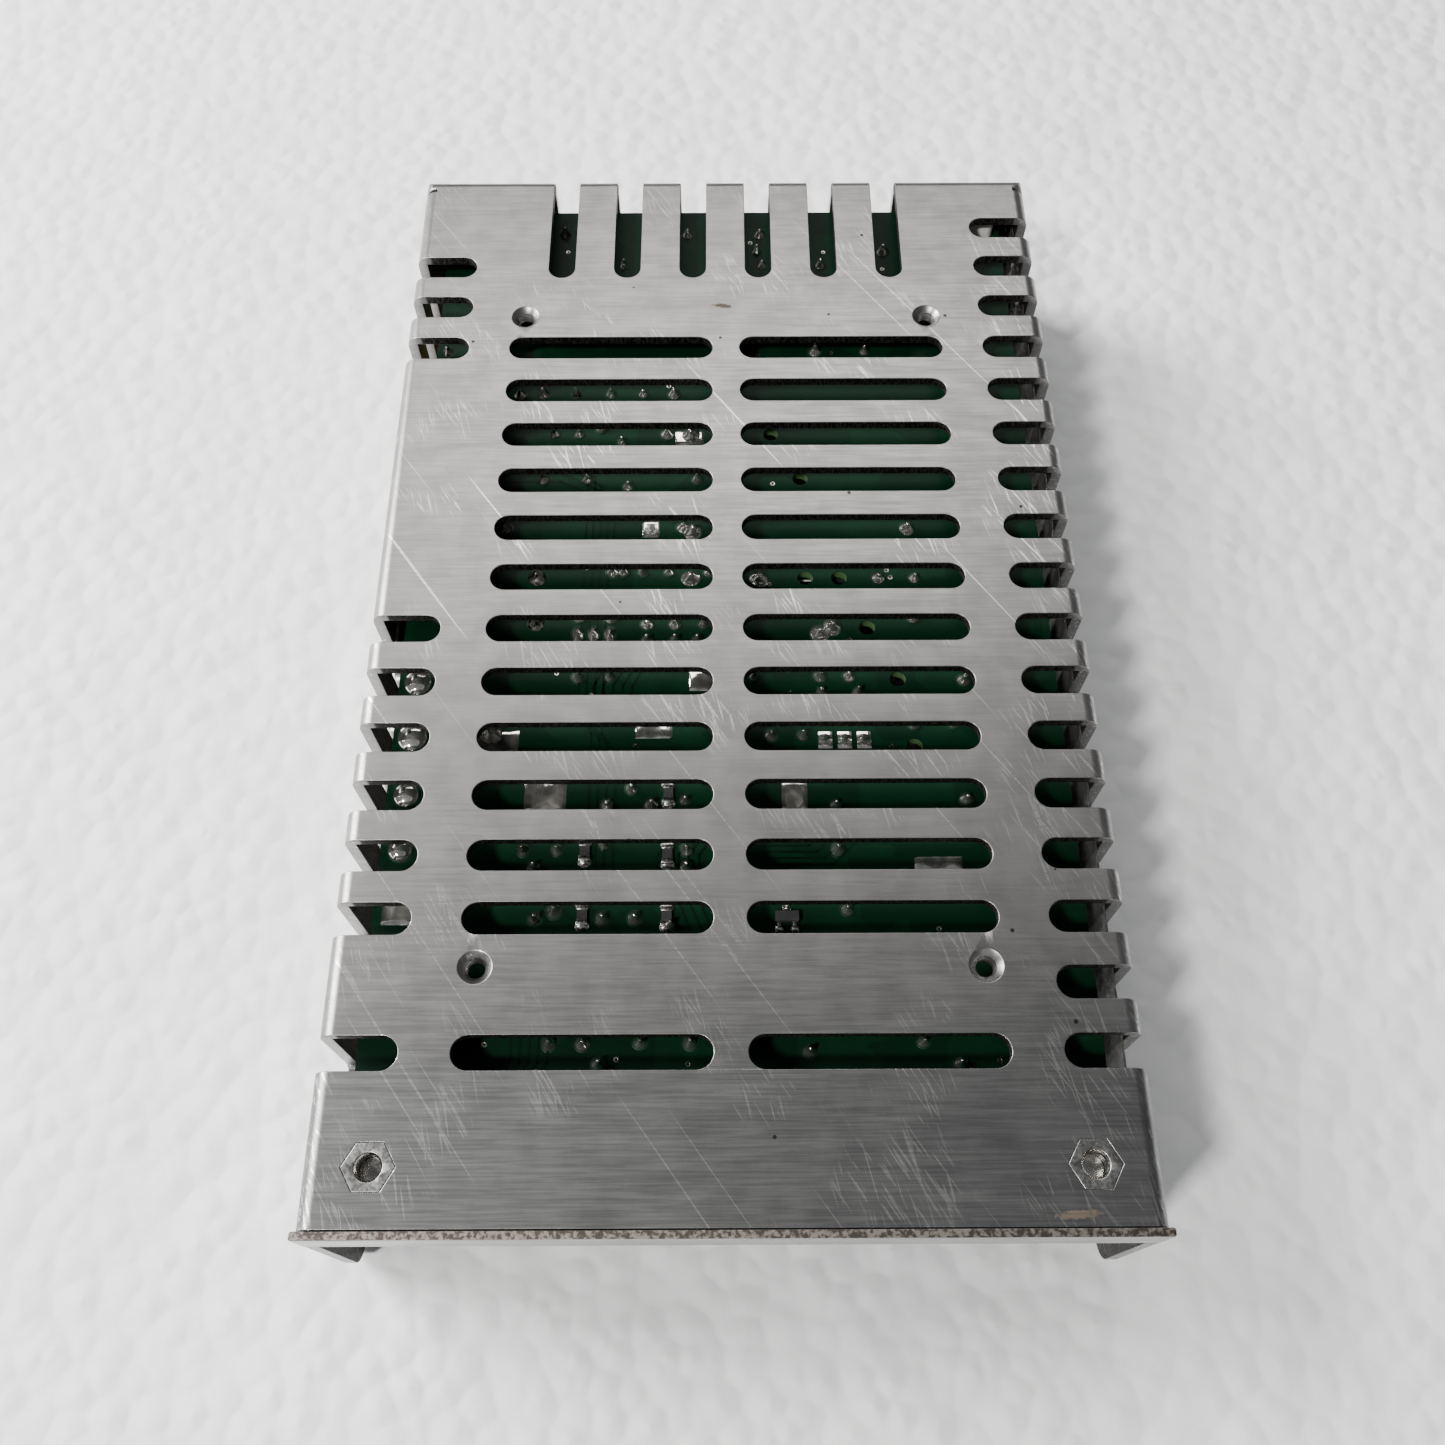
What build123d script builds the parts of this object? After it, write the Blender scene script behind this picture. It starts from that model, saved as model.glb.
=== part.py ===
"""Servo driver unit: slotted bent-sheet chassis, base plate uppermost, with its board hung below it.

Frame: millimetres, +Z up, +Y away from the open terminal end, origin at the middle of the
footprint on the surface that the free edges of the walls stand on.
"""
import os

from build123d import *

# ---------------------------------------------------------------- driving dimensions
# chassis sheet
WIDTH = 95.0
LENGTH = 158.0
HEIGHT = 28.0
SHEET = 1.5
BEND = 2.0
FOOT_CORNER = 4.0
CORNER_SLIT = 0.6

# front lip, a strip across the open end with two tabs under the plate
LIP = 1.1
LIP_DEPTH = 6.0
LIP_TAB_W = 9.0
LIP_TAB_REACH = 11.0
LIP_OVERHANG = 0.3
SEAM = 0.1

# slots
SLOT = 4.0
ROW_PITCH = 8.0
ROWS = [44 - ROW_PITCH * i for i in range(12)] + [-60]
SLOT_INNER = 2.0
SLOT_OUTER = 32.0
NOTCH_INNER = 38.0
NOTCH_FOOT = 12.0
RIGHT_NOTCHES = [68 - ROW_PITCH * i for i in range(17)]
LEFT_NOTCHES = [60, 52, 44, -4, -12, -20, -28, -36, -44, -60]
COMB_PITCH = 10.0
COMB_COUNT = 6
COMB_INNER = 57.8
COMB_FOOT = 15.0

# fixings
MOUNT_X, MOUNT_Y = 60.0, 100.0
TAP_R = 1.25
COUNTERSINK_R = 2.05
COLLAR_R = 2.3
COLLAR_DROP = 1.2
STANDOFF_X, STANDOFF_Y = 40.0, -72.5
STANDOFF_FLATS = 5.3
SCREW_R = 1.5
SCREW_HEAD_R, SCREW_HEAD = 2.75, 1.9
RECESS_L, RECESS_W, RECESS_DEPTH = 2.8, 0.6, 1.1
STANDOFF_SCREW_REACH = 4.2
SUPPORT = 4.5

# board
BOARD = 1.6
BOARD_TOP = 22.7
BOARD_W = 88.0
BOARD_NEAR, BOARD_FAR = -77.0, 77.0
BOARD_HOLES = [(6.5, 32), (10.6, 24), (10.8, 7), (15.5, 7), (19, -1), (22.7, -9), (24.3, -19)]
BOARD_HOLE_R = 1.1

# terminal block
POLES = 5
POLE_PITCH = 9.5
BLOCK_X = -9.0
BLOCK_Y = -68.6
BLOCK_DEPTH = 16.0
BLOCK_BASE = 9.0
FIN = 1.4
FIN_DROP = 7.0
CLAMP = 6.4
CLAMP_T = 1.0
TERMINAL_SCREW_R = 1.75
TERMINAL_HEAD_R = 3.0
TERMINAL_HEAD = 2.0
TERMINAL_RECESS_L, TERMINAL_RECESS_W = 3.6, 0.7

# clamp bar on the left wall
BAR_Z = 11.0
BAR_LENGTH, BAR_W, BAR_T = 44.0, 7.0, 1.5
BAR_HOLES = [(28, 0), (12, 0)]

# small parts
GAP = 0.05
SLIDERS = 4
SLIDER_PITCH = 2.54
PIN = 0.64
PIN_PITCH = 2.54

# ---------------------------------------------------------------- derived planes
PLATE_MID = LIP / 2
UNDER_PLATE = HEIGHT - SHEET
BOARD_UNDER = BOARD_TOP - BOARD
FRONT = -(LENGTH + LIP) / 2
REAR = (LENGTH + LIP) / 2
WALL_IN = WIDTH / 2 - SHEET

deck = Plane(origin=(0, PLATE_MID, 0))
right_side = Plane(origin=(WIDTH / 2 + 1, PLATE_MID, 0), x_dir=(0, 1, 0), z_dir=(1, 0, 0))
left_side = Plane(origin=(-WIDTH / 2 - 1, PLATE_MID, 0), x_dir=(0, 1, 0), z_dir=(1, 0, 0))
rear_side = Plane(origin=(0, REAR + 1, 0), x_dir=(1, 0, 0), z_dir=(0, -1, 0))


def under_board(drop=0.0):
    """Plane facing up, drop below the component face of the board, so that +X and +Y stay the chassis's."""
    return deck.offset(BOARD_UNDER - drop)


def off_left_wall(x, y, z):
    """Plane facing away from the left wall, its own x along the chassis."""
    return Plane(origin=(x, y + PLATE_MID, z), x_dir=(0, 1, 0), z_dir=(1, 0, 0))


def save(piece, name):
    """Label one sub-part and write its STEP file."""
    piece.label = name
    export_step(piece, f"parts/{name}.step")


os.makedirs("parts", exist_ok=True)

# ---------------------------------------------------------------- chassis
with BuildPart() as chassis:
    with BuildSketch(deck):
        Rectangle(WIDTH, LENGTH)
    extrude(amount=HEIGHT)
    plate_edges = chassis.faces().sort_by(Axis.Z)[-1].edges().sort_by(Axis.Y)
    fillet(plate_edges[1:], BEND)
    with BuildSketch(deck):
        with Locations((0, -SHEET)):
            Rectangle(2 * WALL_IN, LENGTH)
    extrude(amount=UNDER_PLATE, mode=Mode.SUBTRACT)
    # wall ends run on under the lip, with rounded feet
    with BuildSketch(deck):
        wall_mid = WALL_IN + SHEET / 2
        with Locations((-wall_mid, -(LENGTH + LIP) / 2), (wall_mid, -(LENGTH + LIP) / 2)):
            Rectangle(SHEET, LIP)
    extrude(amount=HEIGHT - LIP_DEPTH - SEAM)
    near_feet = chassis.edges().filter_by(Axis.X).group_by(Axis.Y)[0].group_by(Axis.Z)[0]
    fillet(near_feet, FOOT_CORNER)
    # two columns of ventilation slots
    with BuildSketch(deck.offset(HEIGHT)):
        column_mid = (SLOT_INNER + SLOT_OUTER) / 2
        for row in ROWS:
            with Locations((-column_mid, row), (column_mid, row)):
                SlotOverall(SLOT_OUTER - SLOT_INNER, SLOT)
    extrude(amount=-SHEET, mode=Mode.SUBTRACT)
    # edge notches in the plate, each running on down its wall
    notch_length = WIDTH / 2 - NOTCH_INNER + 2 * SLOT
    notch_mid = NOTCH_INNER + notch_length / 2
    with BuildSketch(deck.offset(HEIGHT)):
        with Locations([(notch_mid, row) for row in RIGHT_NOTCHES]):
            SlotOverall(notch_length, SLOT)
        with Locations([(-notch_mid, row) for row in LEFT_NOTCHES]):
            SlotOverall(notch_length, SLOT)
    extrude(amount=-SHEET, mode=Mode.SUBTRACT)
    wall_cut = HEIGHT - NOTCH_FOOT + 2 * SLOT
    with BuildSketch(right_side):
        with Locations([(row, NOTCH_FOOT + wall_cut / 2) for row in RIGHT_NOTCHES]):
            SlotOverall(wall_cut, SLOT, rotation=90)
    extrude(amount=-(SHEET + 1.6), mode=Mode.SUBTRACT)
    with BuildSketch(left_side):
        with Locations([(row, NOTCH_FOOT + wall_cut / 2) for row in LEFT_NOTCHES]):
            SlotOverall(wall_cut, SLOT, rotation=90)
    extrude(amount=SHEET + 1.6, mode=Mode.SUBTRACT)
    # comb slots across the far bend
    comb_x = [COMB_PITCH * (i - (COMB_COUNT - 1) / 2) for i in range(COMB_COUNT)]
    comb_length = LENGTH / 2 - COMB_INNER + 2 * SLOT
    with BuildSketch(deck.offset(HEIGHT)):
        with Locations([(x, COMB_INNER + comb_length / 2) for x in comb_x]):
            SlotOverall(comb_length, SLOT, rotation=90)
    extrude(amount=-SHEET, mode=Mode.SUBTRACT)
    comb_cut = HEIGHT - COMB_FOOT + 2 * SLOT
    with BuildSketch(rear_side):
        with Locations([(x, COMB_FOOT + comb_cut / 2) for x in comb_x]):
            SlotOverall(comb_cut, SLOT, rotation=90)
    extrude(amount=SHEET + 1.6, mode=Mode.SUBTRACT)
    # slits that part the far wall from the side walls at the corners
    with BuildSketch(deck):
        slit_y = LENGTH / 2 - BEND - CORNER_SLIT
        with Locations((-WIDTH / 2, slit_y), (WIDTH / 2, slit_y)):
            Rectangle(2 * BEND, CORNER_SLIT)
    extrude(amount=HEIGHT, mode=Mode.SUBTRACT)
    # drawn and tapped mounting holes, countersunk outside
    with BuildSketch(deck.offset(UNDER_PLATE)):
        with GridLocations(MOUNT_X, MOUNT_Y, 2, 2):
            Circle(COLLAR_R)
    extrude(amount=-COLLAR_DROP)
    with Locations(deck.offset(HEIGHT)):
        with GridLocations(MOUNT_X, MOUNT_Y, 2, 2):
            CounterSinkHole(TAP_R, COUNTERSINK_R, depth=SHEET + COLLAR_DROP, counter_sink_angle=90)
    # hexagonal seats for the pressed standoffs, and the tapped holes of the clamp bar
    with BuildSketch(deck.offset(HEIGHT)):
        with Locations((-STANDOFF_X, STANDOFF_Y), (STANDOFF_X, STANDOFF_Y)):
            RegularPolygon(STANDOFF_FLATS / 2, 6, major_radius=False)
    extrude(amount=-SHEET, mode=Mode.SUBTRACT)
    with BuildSketch(left_side):
        with Locations([(along, BAR_Z) for along, _ in BAR_HOLES]):
            Circle(SCREW_R)
    extrude(amount=SHEET + 1.6, mode=Mode.SUBTRACT)
save(chassis.part, "chassis")

# ---------------------------------------------------------------- front lip
lip_bottom = HEIGHT - LIP_DEPTH
with BuildPart() as front_lip:
    with BuildSketch(Plane(origin=(0, FRONT, 0))):
        with Locations((0, (LIP - SEAM) / 2)):
            Rectangle(WIDTH + 2 * LIP_OVERHANG, LIP - SEAM)
    extrude(amount=HEIGHT)
    with BuildSketch(Plane(origin=(0, FRONT, 0))):
        Rectangle(2 * WIDTH, 4 * LIP)
    extrude(amount=lip_bottom, mode=Mode.SUBTRACT)
    fillet(front_lip.edges().filter_by(Axis.Z), 0.3)
    with BuildSketch(Plane(origin=(0, FRONT, UNDER_PLATE))):
        with Locations((-STANDOFF_X, LIP_TAB_REACH / 2), (STANDOFF_X, LIP_TAB_REACH / 2)):
            Rectangle(LIP_TAB_W, LIP_TAB_REACH)
    extrude(amount=-LIP)
    with BuildSketch(deck.offset(UNDER_PLATE)):
        with Locations((-STANDOFF_X, STANDOFF_Y), (STANDOFF_X, STANDOFF_Y)):
            RegularPolygon(STANDOFF_FLATS / 2, 6, major_radius=False)
    extrude(amount=-LIP, mode=Mode.SUBTRACT)
save(front_lip.part, "front_lip")

# ---------------------------------------------------------------- standoffs and their screws
with BuildPart() as hex_standoffs:
    with BuildSketch(deck.offset(HEIGHT)):
        with Locations((-STANDOFF_X, STANDOFF_Y), (STANDOFF_X, STANDOFF_Y)):
            RegularPolygon(STANDOFF_FLATS / 2, 6, major_radius=False)
            Circle(SCREW_R + GAP, mode=Mode.SUBTRACT)
    extrude(amount=BOARD_TOP - HEIGHT)
save(hex_standoffs.part, "hex_standoffs")

with BuildPart() as standoff_screws:
    with BuildSketch(under_board(SCREW_HEAD)):
        with Locations((-STANDOFF_X, STANDOFF_Y), (STANDOFF_X, STANDOFF_Y)):
            Circle(SCREW_HEAD_R)
    extrude(amount=SCREW_HEAD)
    fillet(standoff_screws.edges().group_by(Axis.Z)[0], 0.9)
    with BuildSketch(under_board()):
        with Locations((-STANDOFF_X, STANDOFF_Y), (STANDOFF_X, STANDOFF_Y)):
            Circle(SCREW_R)
    extrude(amount=STANDOFF_SCREW_REACH)
    with BuildSketch(under_board(SCREW_HEAD)):
        with Locations((-STANDOFF_X, STANDOFF_Y), (STANDOFF_X, STANDOFF_Y)):
            Rectangle(RECESS_L, RECESS_W)
            Rectangle(RECESS_W, RECESS_L)
    extrude(amount=RECESS_DEPTH, mode=Mode.SUBTRACT)
save(standoff_screws.part, "standoff_screws")

with BuildPart() as board_supports:
    with BuildSketch(deck.offset(BOARD_TOP)):
        with Locations((-40.5, 71.5), (40.5, 73.6)):
            RectangleRounded(SUPPORT, SUPPORT, 1)
    extrude(amount=UNDER_PLATE - BOARD_TOP)
save(board_supports.part, "board_supports")

# ---------------------------------------------------------------- board
with BuildPart() as pcb:
    with BuildSketch(deck.offset(BOARD_TOP)):
        with Locations((0, (BOARD_NEAR + BOARD_FAR) / 2)):
            RectangleRounded(BOARD_W, BOARD_FAR - BOARD_NEAR, 0.8)
        with Locations(BOARD_HOLES):
            Circle(BOARD_HOLE_R, mode=Mode.SUBTRACT)
        with Locations((-STANDOFF_X, STANDOFF_Y), (STANDOFF_X, STANDOFF_Y)):
            Circle(SCREW_R + GAP, mode=Mode.SUBTRACT)
    extrude(amount=-BOARD)
save(pcb.part, "pcb")

# ---------------------------------------------------------------- surface parts on the solder face
RESISTOR_W, RESISTOR_L, RESISTOR_T = 1.25, 2.0, 0.5
RESISTOR_COLUMNS = {-18.2: [-33.6, -42.0, -50.0], -7.8: [-25.7, -34.0, -42.2, -50.0], 12.0: [-50.0]}
resistor_places = [(x, y) for x, column in RESISTOR_COLUMNS.items() for y in column]
with BuildPart() as chip_resistors:
    with BuildSketch(deck.offset(BOARD_TOP)):
        with Locations(resistor_places):
            Rectangle(RESISTOR_W, RESISTOR_L)
    extrude(amount=RESISTOR_T)
save(chip_resistors.part, "chip_resistors")

TRANSISTOR_W, TRANSISTOR_D, TRANSISTOR_T, TRANSISTOR_LIFT = 2.9, 1.3, 0.9, 0.1
with BuildPart() as chip_transistors:
    with BuildSketch(deck.offset(BOARD_TOP + TRANSISTOR_LIFT)):
        with Locations((-13, -51), (7, -42.4), (-10, -30)):
            RectangleRounded(TRANSISTOR_W, TRANSISTOR_D, 0.1)
    extrude(amount=TRANSISTOR_T)
save(chip_transistors.part, "chip_transistors")

# ---------------------------------------------------------------- insulating film by the right wall
FILM_T, FILM_LENGTH, FILM_FOOT, FILM_TOP = 0.25, 136.0, 3.0, 24.5
with BuildPart() as insulating_film:
    with BuildSketch(deck.offset(FILM_FOOT)):
        with Locations((WALL_IN - 0.3, 4)):
            Rectangle(FILM_T, FILM_LENGTH)
    extrude(amount=FILM_TOP - FILM_FOOT)
save(insulating_film.part, "insulating_film")

# ---------------------------------------------------------------- terminal block
pole_x = [BLOCK_X + POLE_PITCH * (i - (POLES - 1) / 2) for i in range(POLES)]
fin_x = [BLOCK_X + POLE_PITCH * (i - POLES / 2) for i in range(POLES + 1)]
block_width = POLES * POLE_PITCH + FIN
plate_face = BOARD_UNDER - BLOCK_BASE
terminal_plate = 0.8
clamp_top = plate_face - terminal_plate
with BuildPart() as terminal_block:
    with BuildSketch(under_board()):
        with Locations((BLOCK_X, BLOCK_Y)):
            Rectangle(block_width, BLOCK_DEPTH)
    extrude(amount=-BLOCK_BASE)
    with BuildSketch(deck.offset(plate_face)):
        with Locations([(x, BLOCK_Y) for x in fin_x]):
            Rectangle(FIN, BLOCK_DEPTH)
        with Locations((BLOCK_X, BLOCK_Y + BLOCK_DEPTH / 2 - FIN / 2)):
            Rectangle(block_width, FIN)
    extrude(amount=-FIN_DROP)
    with BuildSketch(deck.offset(plate_face)):
        with Locations([(x, BLOCK_Y) for x in pole_x]):
            Circle(TERMINAL_SCREW_R + 0.5)
    extrude(amount=5.5, mode=Mode.SUBTRACT)
save(terminal_block.part, "terminal_block")

with BuildPart() as terminal_plates:
    with BuildSketch(deck.offset(plate_face)):
        with Locations([(x, BLOCK_Y - 0.6) for x in pole_x]):
            Rectangle(POLE_PITCH - FIN - 0.4, BLOCK_DEPTH - FIN - 1.2)
        with Locations([(x, BLOCK_Y) for x in pole_x]):
            Circle(TERMINAL_SCREW_R + GAP, mode=Mode.SUBTRACT)
    extrude(amount=-terminal_plate)
save(terminal_plates.part, "terminal_plates")

screw_reach = 5.0
for number, x in enumerate(pole_x, start=1):
    with BuildPart() as terminal_clamp:
        with BuildSketch(deck.offset(clamp_top)):
            with Locations((x, BLOCK_Y)):
                RectangleRounded(CLAMP, CLAMP, 0.5)
                Circle(TERMINAL_SCREW_R + GAP, mode=Mode.SUBTRACT)
        extrude(amount=-CLAMP_T)
    save(terminal_clamp.part, f"terminal_clamp_{number}")

    with BuildPart() as terminal_screw:
        with BuildSketch(deck.offset(clamp_top - CLAMP_T)):
            with Locations((x, BLOCK_Y)):
                Circle(TERMINAL_HEAD_R)
        extrude(amount=-TERMINAL_HEAD)
        fillet(terminal_screw.edges().group_by(Axis.Z)[0], 0.8)
        with BuildSketch(deck.offset(clamp_top - CLAMP_T)):
            with Locations((x, BLOCK_Y)):
                Circle(TERMINAL_SCREW_R)
        extrude(amount=screw_reach)
        with BuildSketch(deck.offset(clamp_top - CLAMP_T - TERMINAL_HEAD)):
            with Locations((x, BLOCK_Y)):
                Rectangle(TERMINAL_RECESS_L, TERMINAL_RECESS_W)
                Rectangle(TERMINAL_RECESS_W, TERMINAL_RECESS_L)
        extrude(amount=RECESS_DEPTH, mode=Mode.SUBTRACT)
    save(terminal_screw.part, f"terminal_screw_{number}")

# ---------------------------------------------------------------- three-way output header
HEADER_X, HEADER_Y = 15.2, -18.1
HEADER_BASE = 2.5
HEADER_REACH = 6.0
header_x = [HEADER_X + PIN_PITCH * (i - 1) for i in range(3)]
with BuildPart() as header_body:
    with BuildSketch(under_board()):
        with Locations((HEADER_X, HEADER_Y)):
            Rectangle(3 * PIN_PITCH, PIN_PITCH)
        with Locations([(x, HEADER_Y) for x in header_x]):
            Rectangle(PIN, PIN, mode=Mode.SUBTRACT)
    extrude(amount=-HEADER_BASE)
save(header_body.part, "header_body")

with BuildPart() as header_pins:
    with BuildSketch(under_board()):
        with Locations([(x, HEADER_Y) for x in header_x]):
            Rectangle(PIN, PIN)
    extrude(amount=-(HEADER_BASE + HEADER_REACH))
    chamfer(header_pins.edges().group_by(Axis.Z)[0], 0.15)
save(header_pins.part, "header_pins")

# ---------------------------------------------------------------- bulk capacitors, lying along the board
CAN_R = 8.8
CAN_LENGTH = 32.0
OUTPUT_CAN_R, OUTPUT_CAN_TALL = 4.9, 15.0
for number, (x, y) in enumerate([(-8, 55), (-8, 18)], start=1):
    with BuildPart() as capacitor:
        far_end = Plane(origin=(x, y + CAN_LENGTH / 2 + PLATE_MID, BOARD_UNDER - CAN_R), z_dir=(0, -1, 0))
        with BuildSketch(far_end):
            Circle(CAN_R)
        extrude(amount=CAN_LENGTH)
        fillet(capacitor.edges().filter_by(GeomType.CIRCLE), 1.0)
    save(capacitor.part, f"bulk_capacitor_{number}")

with BuildPart() as output_capacitors:
    with BuildSketch(under_board()):
        with Locations((27, -36), (27, -48), (38, -42)):
            Circle(OUTPUT_CAN_R)
    extrude(amount=-OUTPUT_CAN_TALL)
    fillet(output_capacitors.edges().group_by(Axis.Z)[0], 0.8)
save(output_capacitors.part, "output_capacitors")

# ---------------------------------------------------------------- transformer
TRANSFORMER_X, TRANSFORMER_Y = -16.0, -22.0
CORE_W, CORE_H, CORE_D = 26.0, 15.0, 7.5
CORE_LEG, CORE_SIDE, CORE_YOKE = 7.5, 3.5, 4.0
core_front = Plane(
    origin=(TRANSFORMER_X, TRANSFORMER_Y + PLATE_MID + CORE_D / 2, BOARD_UNDER - 1 - CORE_H / 2),
    x_dir=(1, 0, 0),
    z_dir=(0, -1, 0),
)
window_w = (CORE_W - CORE_LEG - 2 * CORE_SIDE) / 2
window_x = CORE_LEG / 2 + window_w / 2
with BuildPart() as transformer_core:
    with BuildSketch(core_front):
        Rectangle(CORE_W, CORE_H)
        with Locations((-window_x, 0), (window_x, 0)):
            Rectangle(window_w, CORE_H - 2 * CORE_YOKE, mode=Mode.SUBTRACT)
    extrude(amount=CORE_D)
save(transformer_core.part, "transformer_core")

winding_h = CORE_H - 2 * CORE_YOKE
winding_mid = BOARD_UNDER - 1 - CORE_H / 2
with BuildPart() as transformer_winding:
    with BuildSketch(deck.offset(winding_mid - winding_h / 2)):
        with Locations((TRANSFORMER_X, TRANSFORMER_Y)):
            RectangleRounded(CORE_LEG + 2 * window_w - 1, CORE_D + 2 * window_w - 1, 3)
            Rectangle(CORE_LEG, CORE_D, mode=Mode.SUBTRACT)
    extrude(amount=winding_h)
save(transformer_winding.part, "transformer_winding")

with BuildPart() as transformer_pins:
    with BuildSketch(under_board()):
        for side in (-1, 1):
            with Locations((TRANSFORMER_X, TRANSFORMER_Y + side * (CORE_D / 2 + 2.4))):
                Rectangle(20, 3)
    extrude(amount=-(BOARD_UNDER - winding_mid - winding_h / 2))
save(transformer_pins.part, "transformer_pins")

# ---------------------------------------------------------------- chokes
CHOKE_TALL = 9.0
CHOKES = {"filter_choke": (22, 60, 8.5, 4.0), "output_choke": (33, -20, 7.5, 3.2)}
for name, (x, y, outer, inner) in CHOKES.items():
    with BuildPart() as choke_core:
        with BuildSketch(under_board(1)):
            with Locations((x, y)):
                Circle(outer)
                Circle(inner, mode=Mode.SUBTRACT)
        extrude(amount=-CHOKE_TALL)
        fillet(choke_core.edges(), 0.6)
    save(choke_core.part, f"{name}_core")

# ---------------------------------------------------------------- power transistors on the left wall
DEVICE_Y = [36, 20, 4]
DEVICE_W, DEVICE_H, DEVICE_T = 10.2, 13.0, 4.4
DEVICE_Z = 12.5
PAD_T = 0.3
LEAD_W, LEAD_T, LEAD_INSET = 0.8, 0.5, 2.4
wall_face = -WALL_IN + PAD_T
with BuildPart() as insulating_pads:
    for y in DEVICE_Y:
        with BuildSketch(off_left_wall(-WALL_IN, y, DEVICE_Z)):
            Rectangle(DEVICE_W + 2, DEVICE_H + 2)
        extrude(amount=PAD_T)
save(insulating_pads.part, "insulating_pads")

lead_reach = BOARD_UNDER - DEVICE_Z - DEVICE_H / 2
with BuildPart() as power_transistors:
    for y in DEVICE_Y:
        with BuildSketch(off_left_wall(wall_face, y, DEVICE_Z)):
            Rectangle(DEVICE_W, DEVICE_H)
        extrude(amount=DEVICE_T)
        with BuildSketch(off_left_wall(wall_face + LEAD_INSET, y, BOARD_UNDER)):
            with GridLocations(PIN_PITCH, 0, 3, 1):
                with Locations((0, -lead_reach / 2)):
                    Rectangle(LEAD_W, lead_reach)
        extrude(amount=LEAD_T)
save(power_transistors.part, "power_transistors")

bar_face = wall_face + DEVICE_T
with BuildPart() as clamp_bar:
    with BuildSketch(off_left_wall(bar_face, 0, BAR_Z)):
        with Locations((20, 0)):
            Rectangle(BAR_LENGTH, BAR_W)
        with Locations(BAR_HOLES):
            Circle(SCREW_R + GAP, mode=Mode.SUBTRACT)
    extrude(amount=BAR_T)
save(clamp_bar.part, "clamp_bar")

with BuildPart() as clamp_screws:
    with BuildSketch(off_left_wall(bar_face + BAR_T, 0, BAR_Z)):
        with Locations(BAR_HOLES):
            Circle(SCREW_HEAD_R)
    extrude(amount=SCREW_HEAD)
    fillet(clamp_screws.edges().group_by(Axis.X)[-1], 0.8)
    with BuildSketch(off_left_wall(bar_face + BAR_T, 0, BAR_Z)):
        with Locations(BAR_HOLES):
            Circle(SCREW_R)
    extrude(amount=-(bar_face + BAR_T + WIDTH / 2 - 0.2))
save(clamp_screws.part, "clamp_screws")

# ---------------------------------------------------------------- board heatsink and its rectifier
SINK_X, SINK_Y = 14.0, 2.0
SINK_T, SINK_LENGTH, SINK_FIN, SINK_TALL = 2.0, 26.0, 8.0, 15.0
with BuildPart() as heatsink:
    with BuildSketch(under_board()):
        with Locations((SINK_X, SINK_Y)):
            Rectangle(SINK_T, SINK_LENGTH)
        for fin in (-12, -6, 0, 6, 12):
            with Locations((SINK_X + SINK_FIN / 2, SINK_Y + fin)):
                Rectangle(SINK_FIN, FIN)
    extrude(amount=-SINK_TALL)
save(heatsink.part, "heatsink")

with BuildPart() as rectifier:
    with BuildSketch(under_board(1.5)):
        with Locations((SINK_X - 1 - 2.2, SINK_Y)):
            Rectangle(4.4, 10.2)
    extrude(amount=-13)
save(rectifier.part, "rectifier")

# ---------------------------------------------------------------- fuse in its clips
FUSE_X, FUSE_Y = 38.0, 32.0
FUSE_R = 2.6
fuse_z = BOARD_UNDER - 4.6
with BuildPart() as fuse_tube:
    with BuildSketch(Plane(origin=(FUSE_X, FUSE_Y + PLATE_MID + 5.5, fuse_z), z_dir=(0, -1, 0))):
        Circle(FUSE_R - 0.2)
    extrude(amount=11)
save(fuse_tube.part, "fuse_tube")

with BuildPart() as fuse_caps:
    for end in (-1, 1):
        with BuildSketch(Plane(origin=(FUSE_X, FUSE_Y + PLATE_MID + end * 5.5, fuse_z), z_dir=(0, end, 0))):
            Circle(FUSE_R)
        extrude(amount=4.8)
save(fuse_caps.part, "fuse_caps")

with BuildPart() as fuse_clips:
    for end in (-1, 1):
        with BuildSketch(Plane(origin=(FUSE_X, FUSE_Y + PLATE_MID + end * 8, fuse_z), z_dir=(0, -1, 0))):
            with Locations((0, 0.9)):
                Rectangle(2 * FUSE_R + 1, 7.4)
            with Locations((0, -1.4)):
                Rectangle(2 * FUSE_R, 2 * 2.5, mode=Mode.SUBTRACT)
            Circle(FUSE_R, mode=Mode.SUBTRACT)
        extrude(amount=2, both=True)
save(fuse_clips.part, "fuse_clips")

# ---------------------------------------------------------------- film capacitor, chips, lamp
with BuildPart() as film_capacitor:
    with BuildSketch(under_board()):
        with Locations((-34, 58)):
            Rectangle(9, 18)
    extrude(amount=-14)
    fillet(film_capacitor.edges(), 0.4)
save(film_capacitor.part, "film_capacitor")

with BuildPart() as control_chip:
    with BuildSketch(under_board(0.6)):
        with Locations((-16, -46)):
            Rectangle(10, 6.4)
    extrude(amount=-3.4)
save(control_chip.part, "control_chip")

with BuildPart() as gate_drivers:
    with BuildSketch(under_board(0.6)):
        with Locations((-31, 28), (-31, 12)):
            Rectangle(6.4, 9.6)
    extrude(amount=-3.4)
save(gate_drivers.part, "gate_drivers")

with BuildPart() as status_lamp:
    with BuildSketch(under_board()):
        with Locations((34.5, -66)):
            Circle(1.5)
    extrude(amount=-5)
    fillet(status_lamp.edges().group_by(Axis.Z)[0], 1.4)
save(status_lamp.part, "status_lamp")

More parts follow.
